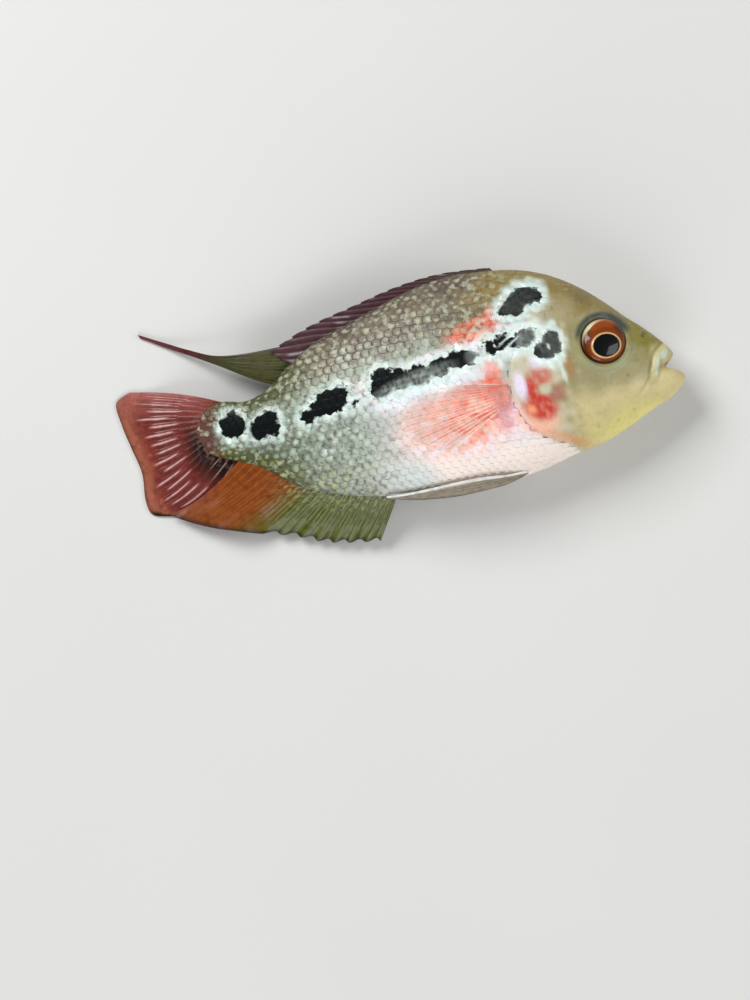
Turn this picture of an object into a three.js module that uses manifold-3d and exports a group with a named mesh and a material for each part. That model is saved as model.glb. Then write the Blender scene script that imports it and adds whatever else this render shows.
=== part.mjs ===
// A young flowerhorn cichlid lying on its left side, life size, in millimetres.
// +X points to the snout, +Y to the back of the fish, and +Z out of its right flank.
// The origin is on the floor, below the middle of the fish's length and height.
import * as THREE from "three";
import { mergeVertices } from "three/addons/utils/BufferGeometryUtils.js";
import Module from "manifold-3d";

const wasm = await Module();
wasm.setup();
const { Manifold, Mesh: SolidMesh } = wasm;

// Driving sizes
const GAP = 0.3; // clearance between neighbouring pieces
const FIN = 0.6; // thickness of a fin
const AROUND = 26; // facets around the body
const STEPS_PER_RING = 2; // facets between two rings of the body
const CURVE_STEPS = 18; // facets along a line where the body is parted
const KEEL = 1.15; // how much the back narrows to its ridge: 1 is an ellipse
const FLOOR_REACH = 200; // larger than the fish

// Places on the fish are written from a point of its middle plane: X towards the snout, Y towards the
// back. The whole fish is set over the origin at the end.

// Rings of the body, from the root of the tail fin to the shoulder and the snout.
// Each has its place along the fish, its back, widest line and belly, its half width, and the height
// of the fish's middle plane over the floor.
const ring = (x, top, side, bottom, width, mid) => ({
  top: [x, top],
  side: [x, side],
  bottom: [x, bottom],
  width,
  mid,
});
const point = (x, y, mid) => ring(x, y, y, y, 0, mid);
const BODY_RINGS = [
  point(-35.6, -1.1, 2.5),
  ring(-34.8, 1.6, -1.1, -3.8, 0.42, 2.6),
  ring(-33.2, 3.0, -1.0, -5.2, 0.9, 2.9),
  ring(-30, 3.7, -0.8, -6.6, 1.6, 3.6),
  ring(-26, 3.2, -0.6, -8.3, 2.3, 4.4),
  ring(-22, 4.6, -0.4, -11.2, 3.1, 5.2),
  ring(-18, 7.8, -0.1, -13.7, 4.0, 5.9),
  ring(-12, 11.3, 0.3, -15.8, 5.2, 6.7),
  ring(-6, 13.3, 0.6, -17.0, 6.2, 7.2),
  ring(0, 15.4, 0.8, -17.9, 7.0, 7.4),
  ring(6, 17.2, 0.6, -18.3, 7.5, 7.4),
  ring(12, 18.0, 0.2, -18.2, 7.8, 7.4),
  ring(18, 17.8, -0.3, -17.9, 7.9, 7.4),
  ring(23, 17.1, -0.8, -17.0, 7.9, 7.4),
  ring(28, 15.4, -1.2, -15.6, 7.7, 7.4),
  ring(33, 12.4, -1.6, -14.5, 7.0, 7.4),
  ring(37, 9.0, -2.2, -12.9, 5.9, 7.35),
  ring(40, 6.0, -2.8, -11.4, 4.9, 7.3),
  ring(42.4, 3.9, -3.2, -10.2, 4.0, 7.25),
];

// Rings of the mouth, where the lips reach different places along the fish: the root of the lips,
// their crest, their front, their inner edge, and the mouth behind them.
const lips = (top, side, bottom, width) => ({ top, side, bottom, width, mid: 7.2 });
const MOUTH_RINGS = [
  lips([44.9, 1.3], [43.6, -3.4], [45.3, -8.9], 3.2),
  lips([46.5, -0.7], [44.7, -3.6], [47.6, -7.1], 2.5),
  lips([46.9, -1.7], [45.1, -3.65], [48.3, -5.7], 2.0),
  lips([46.2, -2.4], [44.9, -3.65], [47.5, -4.9], 1.6),
  lips([44.4, -2.7], [43.8, -3.7], [44.8, -4.9], 1.4),
  lips([41.8, -3.7], [41.8, -3.7], [41.8, -3.7], 0),
];
const RINGS = [...BODY_RINGS, ...MOUTH_RINGS];

// Eyeballs: their half height out of the head is less than their radius, and they stand proud of it
const EYE = { x: 35.3, y: 2.4, radius: 4.0, depth: 3.1, proud: 1.05 };

// A smooth curve through values at whole numbers (Catmull-Rom).
function spline(values, at) {
  const last = values.length - 1;
  const i = Math.min(Math.max(Math.floor(at), 0), last - 1);
  const t = at - i;
  const [a, b, c, d] = [i - 1, i, i + 1, i + 2].map((k) => values[Math.min(Math.max(k, 0), last)]);
  const cubic = -a + 3 * b - 3 * c + d;
  return b + 0.5 * t * (c - a + t * (2 * a - 5 * b + 4 * c - d + t * cubic));
}

// The ring at a place between two rings.
function ringAt(place) {
  const read = (pick) => spline(RINGS.map(pick), place);
  const pair = (key) => [read((r) => r[key][0]), read((r) => r[key][1])];
  return {
    top: pair("top"),
    side: pair("side"),
    bottom: pair("bottom"),
    width: Math.max(read((r) => r.width), 0),
    mid: read((r) => r.mid),
  };
}

// The ring that crosses the body at x.
function ringAcross(x) {
  let [low, high] = [0, BODY_RINGS.length - 1];
  while (high - low > 1e-4) {
    const middle = (low + high) / 2;
    if (ringAt(middle).side[0] < x) low = middle;
    else high = middle;
  }
  return ringAt(low);
}

// A point of a ring, at an angle from the back over the right flank to the belly, grown outwards.
function onRing(r, angle, grow = 0) {
  const across = Math.cos(angle);
  const out = Math.sin(angle);
  const edge = across > 0 ? r.top : r.bottom;
  const share = Math.abs(across);
  const x = r.side[0] + (edge[0] - r.side[0]) * share;
  const y = r.side[1] + (edge[1] - r.side[1]) * share + grow * across;
  const bulge = Math.abs(out) ** (across > 0 ? KEEL : 1);
  return new THREE.Vector3(x, y, r.mid + Math.sign(out) * (r.width + grow) * bulge);
}

// The angle at which a ring passes the height y of the flank.
function angleAt(r, y) {
  const edge = y > r.side[1] ? r.top[1] : r.bottom[1];
  const share = Math.min(Math.abs((y - r.side[1]) / (edge - r.side[1])), 1);
  return y > r.side[1] ? Math.acos(share) : Math.PI - Math.acos(share);
}

// Solids
function solidFrom(geometry) {
  const bare = geometry.clone();
  for (const name of ["normal", "uv"]) bare.deleteAttribute(name);
  const merged = mergeVertices(bare, 1e-4);
  return new Manifold(
    new SolidMesh({
      numProp: 3,
      vertProperties: new Float32Array(merged.attributes.position.array),
      triVerts: new Uint32Array(merged.index.array),
    }),
  );
}

function geometryFrom(solid) {
  const mesh = solid.getMesh();
  const geometry = new THREE.BufferGeometry();
  geometry.setAttribute("position", new THREE.BufferAttribute(mesh.vertProperties, 3));
  geometry.setIndex(new THREE.BufferAttribute(mesh.triVerts, 1));
  const flat = geometry.toNonIndexed();
  flat.computeVertexNormals();
  return flat;
}

// The whole body, made from a sphere whose rows become rings. Its poles are the root of the tail fin
// and the back of the mouth.
function bodySolid(grow = 0) {
  const rows = (RINGS.length - 1) * STEPS_PER_RING;
  const geometry = new THREE.SphereGeometry(1, AROUND, rows);
  const position = geometry.attributes.position;
  for (let i = 0; i < position.count; i++) {
    const row = Math.floor(i / (AROUND + 1));
    const column = i % (AROUND + 1);
    const angle = (-2 * Math.PI * (column % AROUND)) / AROUND;
    const place = onRing(ringAt(row / STEPS_PER_RING), angle, row > 0 && row < rows ? grow : 0);
    position.setXYZ(i, place.x, place.y, place.z);
  }
  return solidFrom(geometry);
}

// A prism over an outline drawn on the side of the fish.
function prism(outline, low, high) {
  const shape = new THREE.Shape(outline.map(([x, y]) => new THREE.Vector2(x, y)));
  const geometry = new THREE.ExtrudeGeometry(shape, { depth: high - low, bevelEnabled: false });
  return solidFrom(geometry.translate(0, 0, low));
}

const through = (outline) => prism(outline, -10, 30);

// A thin cut along a line drawn on the side of the fish.
function cutAlong(points, width = GAP) {
  const curve = new THREE.SplineCurve(points.map(([x, y]) => new THREE.Vector2(x, y)));
  const along = curve.getPoints(CURVE_STEPS);
  const edge = (side) =>
    along.map((p, i) => {
      const tangent = curve.getTangent(i / CURVE_STEPS);
      return [p.x - (side * tangent.y * width) / 2, p.y + (side * tangent.x * width) / 2];
    });
  return through([...edge(-1), ...edge(1).reverse()]);
}

const whole = bodySolid();
const skinRoom = bodySolid(GAP);

// The floor, which flattens what rests on it.
const belowFloor = solidFrom(new THREE.BoxGeometry(FLOOR_REACH, FLOOR_REACH, 20).translate(0, 0, -10));

// A fin is a plate of rows along its rays. surface(s, t, out) gives a point at the share s across the
// fin and t along its rays, and out is 0 on one face and 1 on the other.
function finSolid(surface, across, along) {
  const geometry = new THREE.BoxGeometry(1, 1, 1, across, along, 1);
  const position = geometry.attributes.position;
  for (let i = 0; i < position.count; i++) {
    const s = position.getX(i) + 0.5;
    const t = position.getY(i) + 0.5;
    const place = surface(s, t, position.getZ(i) + 0.5);
    position.setXYZ(i, place.x, place.y, place.z);
  }
  const solid = solidFrom(geometry);
  return solid.volume() < 0 ? solidFrom(flipped(geometry)) : solid;
}

function flipped(geometry) {
  const index = geometry.index.array;
  for (let i = 0; i < index.length; i += 3) [index[i + 1], index[i + 2]] = [index[i + 2], index[i + 1]];
  return geometry;
}

const smooth = (t) => THREE.MathUtils.smoothstep(t, 0, 1);
const lerp = THREE.MathUtils.lerp;
const alongPoints = (points, share) =>
  [0, 1].map((k) => spline(points.map((p) => p[k]), share * (points.length - 1)));

// A fin in the middle plane, between its root line and its margin. height(x, s, t) is the middle of the
// plate above the floor, notch(s) draws the margin in between the spines, and bow(s) bends the rays.
function medianFin({ root, margin, height, notch = () => 0, bow = () => 0, across, along }) {
  return finSolid(
    (s, t, out) => {
      const [x0, y0] = alongPoints(root, s);
      const [x1, y1] = alongPoints(margin, s);
      const reach = t * (1 - notch(s));
      const x = lerp(x0, x1, reach);
      const y = lerp(y0, y1, reach) + bow(s) * Math.sin(Math.PI * t);
      return new THREE.Vector3(x, y, height(x, s, t) + (out - 0.5) * FIN);
    },
    across,
    along,
  );
}

// Tail fin: it droops from the tail stalk and its rear half lies on the floor.
const TAIL_FIN = {
  root: [[-29.6, 3.4], [-33.0, 1.8], [-34.2, -1.1], [-33.2, -4.0], [-28.8, -6.4]],
  margin: [
    [-45.6, 8.1], [-48.2, 6.6], [-47.9, 2.8], [-46.9, -1.6],
    [-45.9, -6.0], [-46.1, -10.6], [-45.3, -13.2], [-42.4, -14.0],
  ],
  floorFrom: -43.5, // it lies flat from here back
  rootHeight: 2.9,
};
const tailBow = (s) => 0.7 * (1 - s) ** 4 - 1.7 * s ** 4;
const tailHeight = (x) =>
  lerp(FIN / 2, TAIL_FIN.rootHeight, smooth((x - TAIL_FIN.floorFrom) / (-33 - TAIL_FIN.floorFrom)));
const tailFin = medianFin({ ...TAIL_FIN, height: tailHeight, bow: tailBow, across: 20, along: 7 });

// Anal fin: spines in front, and a long soft lobe that lies over the lower edge of the tail fin.
const ANAL_SPINES = 7;
const ANAL_SPINY_SHARE = 0.55; // of the margin
const ANAL_FIN = {
  root: [[-3.2, -16.8], [-9.6, -15.6], [-16.0, -13.5], [-22.4, -10.2], [-28.6, -6.2]],
  margin: [
    [-7.6, -24.4], [-12.4, -23.9], [-17.2, -22.9], [-22.2, -21.0],
    [-28.5, -19.4], [-35.0, -17.4], [-39.6, -15.4], [-42.3, -13.9],
  ],
  frontHeight: 2.4, // of the margin, above the floor
};
const scallops = (s, count) => 0.5 - 0.5 * Math.cos(s * count * 2 * Math.PI);
const analNotch = (s) =>
  s < ANAL_SPINY_SHARE ? 0.07 * scallops(s / ANAL_SPINY_SHARE, ANAL_SPINES) : 0;
function analHeight(x, s, t) {
  const root = ringAcross(alongPoints(ANAL_FIN.root, s)[0]).mid;
  const plain = lerp(root, lerp(ANAL_FIN.frontHeight, 1.3, s), t);
  const overTail = Math.max(plain, tailHeight(x) + FIN + GAP + 0.1);
  return lerp(plain, overTail, smooth((-25.5 - x) / 5.5));
}
const analBow = (s) => -1.1 * s ** 6;
const analFin = medianFin({
  ...ANAL_FIN,
  height: analHeight,
  notch: analNotch,
  bow: analBow,
  across: 38,
  along: 4,
});

// Dorsal fin: folded spines along the back, and a soft lobe drawn out into a long thread.
const DORSAL_SPINES = 16;
const DORSAL_FIN = {
  root: [[19.6, 16.9], [12.0, 17.2], [4.0, 15.9], [-4.0, 13.4], [-11.0, 10.9], [-17.0, 7.4]],
  margin: [[18.6, 18.2], [10.0, 18.6], [2.4, 17.7], [-5.4, 15.8], [-13.4, 13.7], [-20.6, 10.7]],
};
const dorsalNotch = (s) => 0.16 * scallops(s, DORSAL_SPINES);
const onMidPlane = (x) => ringAcross(Math.max(x, -34)).mid;
const spinyDorsal = medianFin({
  ...DORSAL_FIN,
  height: (x) => onMidPlane(x),
  notch: dorsalNotch,
  across: 32,
  along: 2,
});
// The soft lobe narrows quickly to the thread, which comes down to the floor. Its middle line and half
// widths run from the back to the tip.
const SOFT_DORSAL = {
  middle: [[-16.6, 6.9], [-24.0, 8.5], [-29.6, 10.6], [-34.0, 12.8], [-38.2, 15.0], [-42.4, 17.3]],
  half: [4.3, 2.6, 1.05, 0.62, 0.5, 0.3],
};
function softDorsalSurface(s, t, out) {
  const { middle, half } = SOFT_DORSAL;
  const [x, y] = alongPoints(middle, t);
  const reach = spline(half, t * (half.length - 1)) * (1 - 2 * s);
  const height = lerp(onMidPlane(-19), FIN / 2, smooth(t * 1.1));
  return new THREE.Vector3(x - reach * 0.35, y + reach, height + (out - 0.5) * FIN);
}
const softDorsal = finSolid(softDorsalSurface, 4, 14);

// Fins that lie on the flank follow the body at a small distance. place(s, t) gives where on the side of
// the fish, and lift how far off it.
function flankFin(place, lift, across, along) {
  return finSolid(
    (s, t, out) => {
      const [x, y] = place(s, t);
      const r = ringAcross(x);
      return onRing(r, angleAt(r, y), lift + out * FIN);
    },
    across,
    along,
  );
}

// Right pectoral fin: spread back over the flank from just behind the gill cover.
const PECTORAL = {
  root: [[18.0, -2.0], [18.2, -3.4], [17.8, -5.2]],
  margin: [[9.6, -0.4], [4.0, -1.2], [0.4, -3.0], [-0.4, -5.8], [2.0, -9.0], [7.4, -11.2]],
};
const fanPlace = ({ root, margin }) => (s, t) => {
  const [x0, y0] = alongPoints(root, s);
  const [x1, y1] = alongPoints(margin, s);
  return [lerp(x0, x1, t), lerp(y0, y1, t)];
};
const pectoralRight = flankFin(fanPlace(PECTORAL), GAP, 12, 6);

// Left pectoral fin: pressed flat between the flank and the floor.
const PRESSED = {
  root: [[17.4, -2.0], [17.6, -3.2], [17.4, -4.6]],
  margin: [[9.4, 0.6], [4.4, -1.6], [1.4, -4.6], [2.0, -8.0], [6.0, -10.4]],
  middle: [9.5, -4.2],
  thickness: 0.5,
};
// An outline with each point moved away from a middle.
const grownFrom = (outline, middle, grow) =>
  outline.map(([x, y]) => {
    const scale = 1 + grow / Math.hypot(x - middle[0], y - middle[1]);
    return [lerp(middle[0], x, scale), lerp(middle[1], y, scale)];
  });
function pressedOutline(grow) {
  const margin = Array.from({ length: 17 }, (_, i) => alongPoints(PRESSED.margin, i / 16));
  return grownFrom([...margin, ...PRESSED.root.toReversed()], PRESSED.middle, grow);
}
const pectoralLeft = prism(pressedOutline(0), 0, PRESSED.thickness);
const pressedRoom = prism(pressedOutline(GAP), -1, PRESSED.thickness + GAP);

// Pelvic fins: narrow blades folded back along the belly, the right one over the edge of the belly.
const PELVIC_ROOT = 19.0;
function pelvicSurface(side, sweep) {
  return (s, t, out) => {
    const x = lerp(PELVIC_ROOT, sweep.tipX, t);
    const blade = Math.max(Math.sin(Math.PI * t ** 0.85), 0) ** 0.75;
    const centre = lerp(sweep.rootAngle, sweep.tipAngle, t);
    const angle = centre + (s - 0.5) * sweep.spread * (0.08 + 0.92 * blade);
    return onRing(ringAcross(x), (side * angle * Math.PI) / 180, GAP + 0.15 + out * FIN);
  };
}
const pelvicRight = finSolid(
  pelvicSurface(1, { tipX: -5.2, rootAngle: 163, tipAngle: 166, spread: 22 }),
  4,
  12,
);
const pelvicLeft = finSolid(
  pelvicSurface(-1, { tipX: -4.2, rootAngle: 156, tipAngle: 164, spread: 22 }),
  4,
  12,
);

// Lines where the body is parted, drawn on its side: the gill opening, the front of the gill cover,
// the root of the tail, and the two jaws.
const GILL_OPENING = [
  [27.2, 20], [25.4, 12], [22.2, 6.0], [19.0, 1.2], [18.6, -3.4],
  [19.8, -8.0], [22.8, -11.6], [27.4, -14.0], [31.0, -18],
];
const GILL_COVER = [
  [22.7, 6.4], [25.6, 6.9], [28.4, 5.4], [28.1, 1.2], [28.2, -3.0], [29.4, -6.8],
  [32.4, -10.0], [31.4, -12.3], [27.4, -13.6],
];
const TAIL_ROOT = [[-22.4, 20], [-22.0, 5], [-22.0, -10], [-22.4, -25]];
const UPPER_JAW = [[44.4, 8], [43.6, 2.2], [42.7, -1.2], [43.1, -3.4], [45.4, -3.7]];
const LOWER_JAW = [[45.4, -3.7], [42.9, -4.3], [41.2, -6.6], [38.2, -11.0], [37.6, -18]];

const cuts = [GILL_OPENING, TAIL_ROOT, UPPER_JAW, LOWER_JAW].map((line) => cutAlong(line));
let flesh = whole.subtract(belowFloor);
for (const cut of cuts) flesh = flesh.subtract(cut);

const linePoints = (points) =>
  new THREE.SplineCurve(points.map(([x, y]) => new THREE.Vector2(x, y)))
    .getPoints(CURVE_STEPS)
    .map((p) => [p.x, p.y]);
const behindGills = [...linePoints(GILL_OPENING), [-60, -30], [-60, 30]].reverse();
const behindTailRoot = [...linePoints(TAIL_ROOT), [-60, -30], [-60, 30]].reverse();
const ahead = through([...linePoints(GILL_OPENING), [60, -30], [60, 30]]);
const upperJawArea = through([...linePoints(UPPER_JAW), [50, -3.7], [60, 8]]);
const lowerJawArea = through([...linePoints(LOWER_JAW), [60, -18], [60, -3.7]]);

// A gill cover is the outer part of the cheek between its front edge and the gill opening, down to a
// depth in the head.
const COVER = { depth: 3.2, middle: [24.5, -3.6], mid: 7.4 }; // depth is from the middle plane
const coverOutline = [...linePoints(GILL_COVER), [10, -14], [10, 6.6]];
function coverArea(side, grow) {
  const outline = grownFrom(coverOutline, COVER.middle, grow);
  const from = COVER.mid + side * (COVER.depth - grow);
  return side > 0 ? prism(outline, from, 30) : prism(outline, -10, from);
}

// Eyeballs, set into sockets in the head.
function eyeball(side, grow) {
  const r = ringAcross(EYE.x);
  const surface = onRing(r, angleAt(r, EYE.y)).z - r.mid;
  const geometry = new THREE.SphereGeometry(1, 18, 10).rotateX(Math.PI / 2);
  geometry.scale(EYE.radius + grow, EYE.radius + grow, EYE.depth + grow);
  const height = r.mid + side * (surface + EYE.proud - EYE.depth);
  return solidFrom(geometry.translate(EYE.x, EYE.y, height));
}

const headAndCovers = flesh.intersect(ahead).subtract(upperJawArea).subtract(lowerJawArea);
let head = headAndCovers;
for (const side of [1, -1]) head = head.subtract(coverArea(side, GAP)).subtract(eyeball(side, GAP));

// A cut can leave slivers beside a piece, and they are left off.
const largest = (solid) => solid.decompose().sort((a, b) => b.volume() - a.volume())[0];

const trunk = largest(
  flesh.intersect(through(behindGills)).subtract(through(behindTailRoot)).subtract(pressedRoom),
);
const tailStalk = largest(flesh.intersect(through(behindTailRoot)));
const offBody = (fin) => largest(fin.subtract(skinRoom));
const dorsalFin = largest(spinyDorsal.add(softDorsal).subtract(skinRoom));

// Colours of the fish, as seen from its right side.
const colour = (hex, roughness) => new THREE.MeshStandardMaterial({ color: hex, roughness, metalness: 0 });
const FLANK = () => colour(0xa8ab9a, 0.4);
const FACE = () => colour(0xb9b483, 0.4);
const CHEEK = () => colour(0xc9a08c, 0.35);
const RED_FIN = () => colour(0x7d2f2b, 0.35);
const BROWN_FIN = () => colour(0x6f5433, 0.35);
const CLEAR_FIN = () => colour(0xd9c3bb, 0.3);
const GREY_FIN = () => colour(0x8d8672, 0.35);
const EYE_COLOUR = () => colour(0x6b2c0a, 0.1);

const pieces = [
  ["head", largest(head), FACE()],
  ["upper_jaw", largest(flesh.intersect(upperJawArea)), FACE()],
  ["lower_jaw", largest(flesh.intersect(lowerJawArea)), FACE()],
  ["trunk", trunk, FLANK()],
  ["tail_stalk", tailStalk, FLANK()],
  ["dorsal_fin", dorsalFin, GREY_FIN()],
  ["anal_fin", offBody(analFin), BROWN_FIN()],
  ["caudal_fin", offBody(tailFin), RED_FIN()],
  ["pectoral_fin_right", offBody(pectoralRight), CLEAR_FIN()],
  ["pectoral_fin_left", pectoralLeft, CLEAR_FIN()],
  ["pelvic_fin_right", offBody(pelvicRight), GREY_FIN()],
  ["pelvic_fin_left", offBody(pelvicLeft), GREY_FIN()],
];
for (const [name, side] of [["right", 1], ["left", -1]]) {
  pieces.push(["gill_cover_" + name, largest(headAndCovers.intersect(coverArea(side, 0))), CHEEK()]);
  pieces.push(["eye_" + name, eyeball(side, 0), EYE_COLOUR()]);
}

const fish = new THREE.Group();
fish.name = "flowerhorn_cichlid";
for (const [name, solid, material] of pieces) {
  const mesh = new THREE.Mesh(geometryFrom(solid), material);
  mesh.name = name;
  fish.add(mesh);
}

const box = new THREE.Box3().setFromObject(fish);
const middle = box.getCenter(new THREE.Vector3());
fish.position.set(-middle.x, -middle.y, -box.min.z);

export default fish;
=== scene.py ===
import math

import bpy
import numpy as np
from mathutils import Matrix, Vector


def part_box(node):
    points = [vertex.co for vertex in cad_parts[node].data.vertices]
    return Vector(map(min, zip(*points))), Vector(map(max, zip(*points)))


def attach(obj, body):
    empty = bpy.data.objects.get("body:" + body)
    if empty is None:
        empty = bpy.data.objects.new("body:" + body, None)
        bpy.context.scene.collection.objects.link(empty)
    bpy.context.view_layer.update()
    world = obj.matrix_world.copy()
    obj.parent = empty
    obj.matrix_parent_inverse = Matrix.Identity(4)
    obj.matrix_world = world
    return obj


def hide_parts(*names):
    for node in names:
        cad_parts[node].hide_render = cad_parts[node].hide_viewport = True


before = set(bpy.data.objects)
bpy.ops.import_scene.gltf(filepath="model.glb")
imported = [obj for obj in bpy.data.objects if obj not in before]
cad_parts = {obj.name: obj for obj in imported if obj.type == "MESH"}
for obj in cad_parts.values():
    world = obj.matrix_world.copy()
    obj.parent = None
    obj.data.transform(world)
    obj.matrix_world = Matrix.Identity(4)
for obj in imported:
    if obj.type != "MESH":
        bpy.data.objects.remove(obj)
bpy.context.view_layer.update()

MM = 0.001
EYE = dict(x=35.3, y=2.4, radius=4.0, depth=3.1, proud=1.05)
KEEL = 1.15  # how much the back narrows to its ridge
COAT = 0.1  # the depth of the scales, by which the skin lies inside the solids

# The solids are set with the middle of their box over the origin, and the eye shows by how much.
eye_low, eye_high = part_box("eye_right")
SHIFT = np.array(
    [
        (eye_low.x + eye_high.x) / 2 / MM - EYE["x"],
        (eye_low.y + eye_high.y) / 2 / MM - EYE["y"],
        0.0,
    ]
)

# Rings of the body from the root of the tail fin to the mouth:
# top x, y; widest line x, y; belly x, y; half width; height of the middle plane.
RINGS = np.array(
    [
        (-35.6, -1.1, -35.6, -1.1, -35.6, -1.1, 0.0, 2.5),
        (-34.8, 1.6, -34.8, -1.1, -34.8, -3.8, 0.42, 2.6),
        (-33.2, 3.0, -33.2, -1.0, -33.2, -5.2, 0.9, 2.9),
        (-30, 3.7, -30, -0.8, -30, -6.6, 1.6, 3.6),
        (-26, 3.2, -26, -0.6, -26, -8.3, 2.3, 4.4),
        (-22, 4.6, -22, -0.4, -22, -11.2, 3.1, 5.2),
        (-18, 7.8, -18, -0.1, -18, -13.7, 4.0, 5.9),
        (-12, 11.3, -12, 0.3, -12, -15.8, 5.2, 6.7),
        (-6, 13.3, -6, 0.6, -6, -17.0, 6.2, 7.2),
        (0, 15.4, 0, 0.8, 0, -17.9, 7.0, 7.4),
        (6, 17.2, 6, 0.6, 6, -18.3, 7.5, 7.4),
        (12, 18.0, 12, 0.2, 12, -18.2, 7.8, 7.4),
        (18, 17.8, 18, -0.3, 18, -17.9, 7.9, 7.4),
        (23, 17.1, 23, -0.8, 23, -17.0, 7.9, 7.4),
        (28, 15.4, 28, -1.2, 28, -15.6, 7.7, 7.4),
        (33, 12.4, 33, -1.6, 33, -14.5, 7.0, 7.4),
        (37, 9.0, 37, -2.2, 37, -12.9, 5.9, 7.35),
        (40, 6.0, 40, -2.8, 40, -11.4, 4.9, 7.3),
        (42.4, 3.9, 42.4, -3.2, 42.4, -10.2, 4.0, 7.25),
        (44.9, 1.3, 43.6, -3.4, 45.3, -8.9, 3.2, 7.2),
        (46.5, -0.7, 44.7, -3.6, 47.6, -7.1, 2.5, 7.2),
        (46.9, -1.7, 45.1, -3.65, 48.3, -5.7, 2.0, 7.2),
        (46.2, -2.4, 44.9, -3.65, 47.5, -4.9, 1.6, 7.2),
        (44.4, -2.7, 43.8, -3.7, 44.8, -4.9, 1.4, 7.2),
        (41.8, -3.7, 41.8, -3.7, 41.8, -3.7, 0.0, 7.2),
    ]
)
PLANE_RINGS = 19  # up to here a ring is a plane across the fish


# Curves and blends
def spline(values, at):
    """A Catmull-Rom curve through rows at whole numbers."""
    values = np.asarray(values, float)
    last = len(values) - 1
    at = np.clip(np.asarray(at, float), 0, last)
    i = np.minimum(at.astype(int), last - 1)
    t = (at - i).reshape(at.shape + (1,) * (values.ndim - 1))
    a, b, c, d = (values[np.clip(i + k, 0, last)] for k in (-1, 0, 1, 2))
    return b + 0.5 * t * (c - a + t * (2 * a - 5 * b + 4 * c - d + t * (3 * (b - c) + d - a)))


def smooth(low, high, value):
    t = np.clip((value - low) / (high - low), 0, 1)
    return t * t * (3 - 2 * t)


def bump(value, width):
    return np.exp(-((value / width) ** 2))


def along(points, share):
    """A point at each share of a spline through points."""
    return spline(points, np.asarray(share) * (len(points) - 1))


def waves(x, y, size, seed):
    """Smooth noise of about -1 to 1 made of crossing waves."""
    draw = np.random.default_rng(seed)
    total = 0
    for _ in range(7):
        heading, phase = draw.uniform(0, 2 * math.pi, 2)
        pitch = size * draw.uniform(0.6, 1.6)
        total = total + np.sin((x * math.cos(heading) + y * math.sin(heading)) * 6.28 / pitch + phase)
    return total / 3.2


LINE_STEPS = 40


def line_distance(x, y, points):
    """Distance from places to a curve, the share along it of the nearest point, and the side (+1 left)."""
    path = along(points, np.linspace(0, 1, LINE_STEPS))
    start, end = path[:-1], path[1:]
    shape = np.shape(x)
    px, py = np.ravel(x)[:, None], np.ravel(y)[:, None]
    dx, dy = (end - start).T
    t = np.clip(((px - start[:, 0]) * dx + (py - start[:, 1]) * dy) / (dx**2 + dy**2), 0, 1)
    away_x, away_y = px - start[:, 0] - t * dx, py - start[:, 1] - t * dy
    far = np.hypot(away_x, away_y)
    best = far.argmin(1)
    rows = np.arange(len(best))
    side = np.sign(dx[best] * away_y[rows, best] - dy[best] * away_x[rows, best])
    share = (best + t[rows, best]) / (LINE_STEPS - 1)
    return far[rows, best].reshape(shape), share.reshape(shape), side.reshape(shape)


def ahead_of(x, y, line):
    """How far in front of a line places are, less than nought behind it, and the share along it."""
    far, share, side = line_distance(x, y, line)
    return np.where(side > 0, far, -far), share


# The body's shape
def ring_point(place, angle):
    """A point of the body, at a ring's place and an angle from the back over the right flank."""
    r = spline(RINGS, place)
    across, out = np.cos(angle), np.sin(angle)
    share = np.abs(across)
    up = across > 0
    edge_x = np.where(up, r[..., 0], r[..., 4])
    edge_y = np.where(up, r[..., 1], r[..., 5])
    x = r[..., 2] + (edge_x - r[..., 2]) * share
    y = r[..., 3] + (edge_y - r[..., 3]) * share
    bulge = np.abs(out) ** np.where(up, KEEL, 1)
    z = r[..., 7] + np.sign(out) * np.maximum(r[..., 6], 0) * bulge
    return np.stack([x, y, z], -1)


LAST_RING = len(RINGS) - 1
PLACES = np.linspace(0, PLANE_RINGS - 1, 1500)
PLACE_X = spline(RINGS[:, 2], PLACES)


def place_of(x):
    return np.interp(x, PLACE_X, PLACES)


def angle_at(x, y):
    """The angle at which the body passes the height y of the flank."""
    r = spline(RINGS, place_of(x))
    edge = np.where(y > r[..., 3], r[..., 1], r[..., 5])
    share = np.clip(np.abs((y - r[..., 3]) / (edge - r[..., 3])), 0, 1)
    return np.where(y > r[..., 3], np.arccos(share), math.pi - np.arccos(share))


def mid_height(x):
    return spline(RINGS[:, 7], place_of(x))


# Lines on the side of the fish
GILL_OPENING = [
    (27.2, 20), (25.4, 12), (22.2, 6.0), (19.0, 1.2), (18.6, -3.4),
    (19.8, -8.0), (22.8, -11.6), (27.4, -14.0), (31.0, -18),
]
CHEEK_RIDGE = [(28.9, 6.6), (28.3, 3.0), (28.0, -1.5), (28.5, -5.2), (30.4, -8.4), (33.6, -10.6)]
JAW_CREASE = [(44.4, -3.5), (42.9, -4.3), (41.3, -6.2), (39.2, -8.6)]
LIP_GROOVE = [(45.9, 0.9), (44.7, -0.05), (43.6, -1.0), (42.8, -2.9), (42.2, -4.4), (41.8, -5.9)]
MOUTH_CORNER = (45.6, -3.25)
NOSTRIL = (42.35, 2.35)
HEAD_PORES = [
    (31.3, 7.6), (34.1, 8.8), (37.6, 7.0), (39.9, 4.9), (41.0, 1.0), (40.4, -1.6), (38.4, -3.9),
    (35.2, -4.9), (31.8, -3.6), (29.4, -9.6), (32.2, -11.6), (35.6, -11.2), (38.6, -9.9), (28.2, 6.6),
]
LATERAL_LINE = [(21.0, 8.6), (14.0, 10.6), (6.0, 10.4), (-2.0, 8.6), (-8.0, 6.8)]
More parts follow.
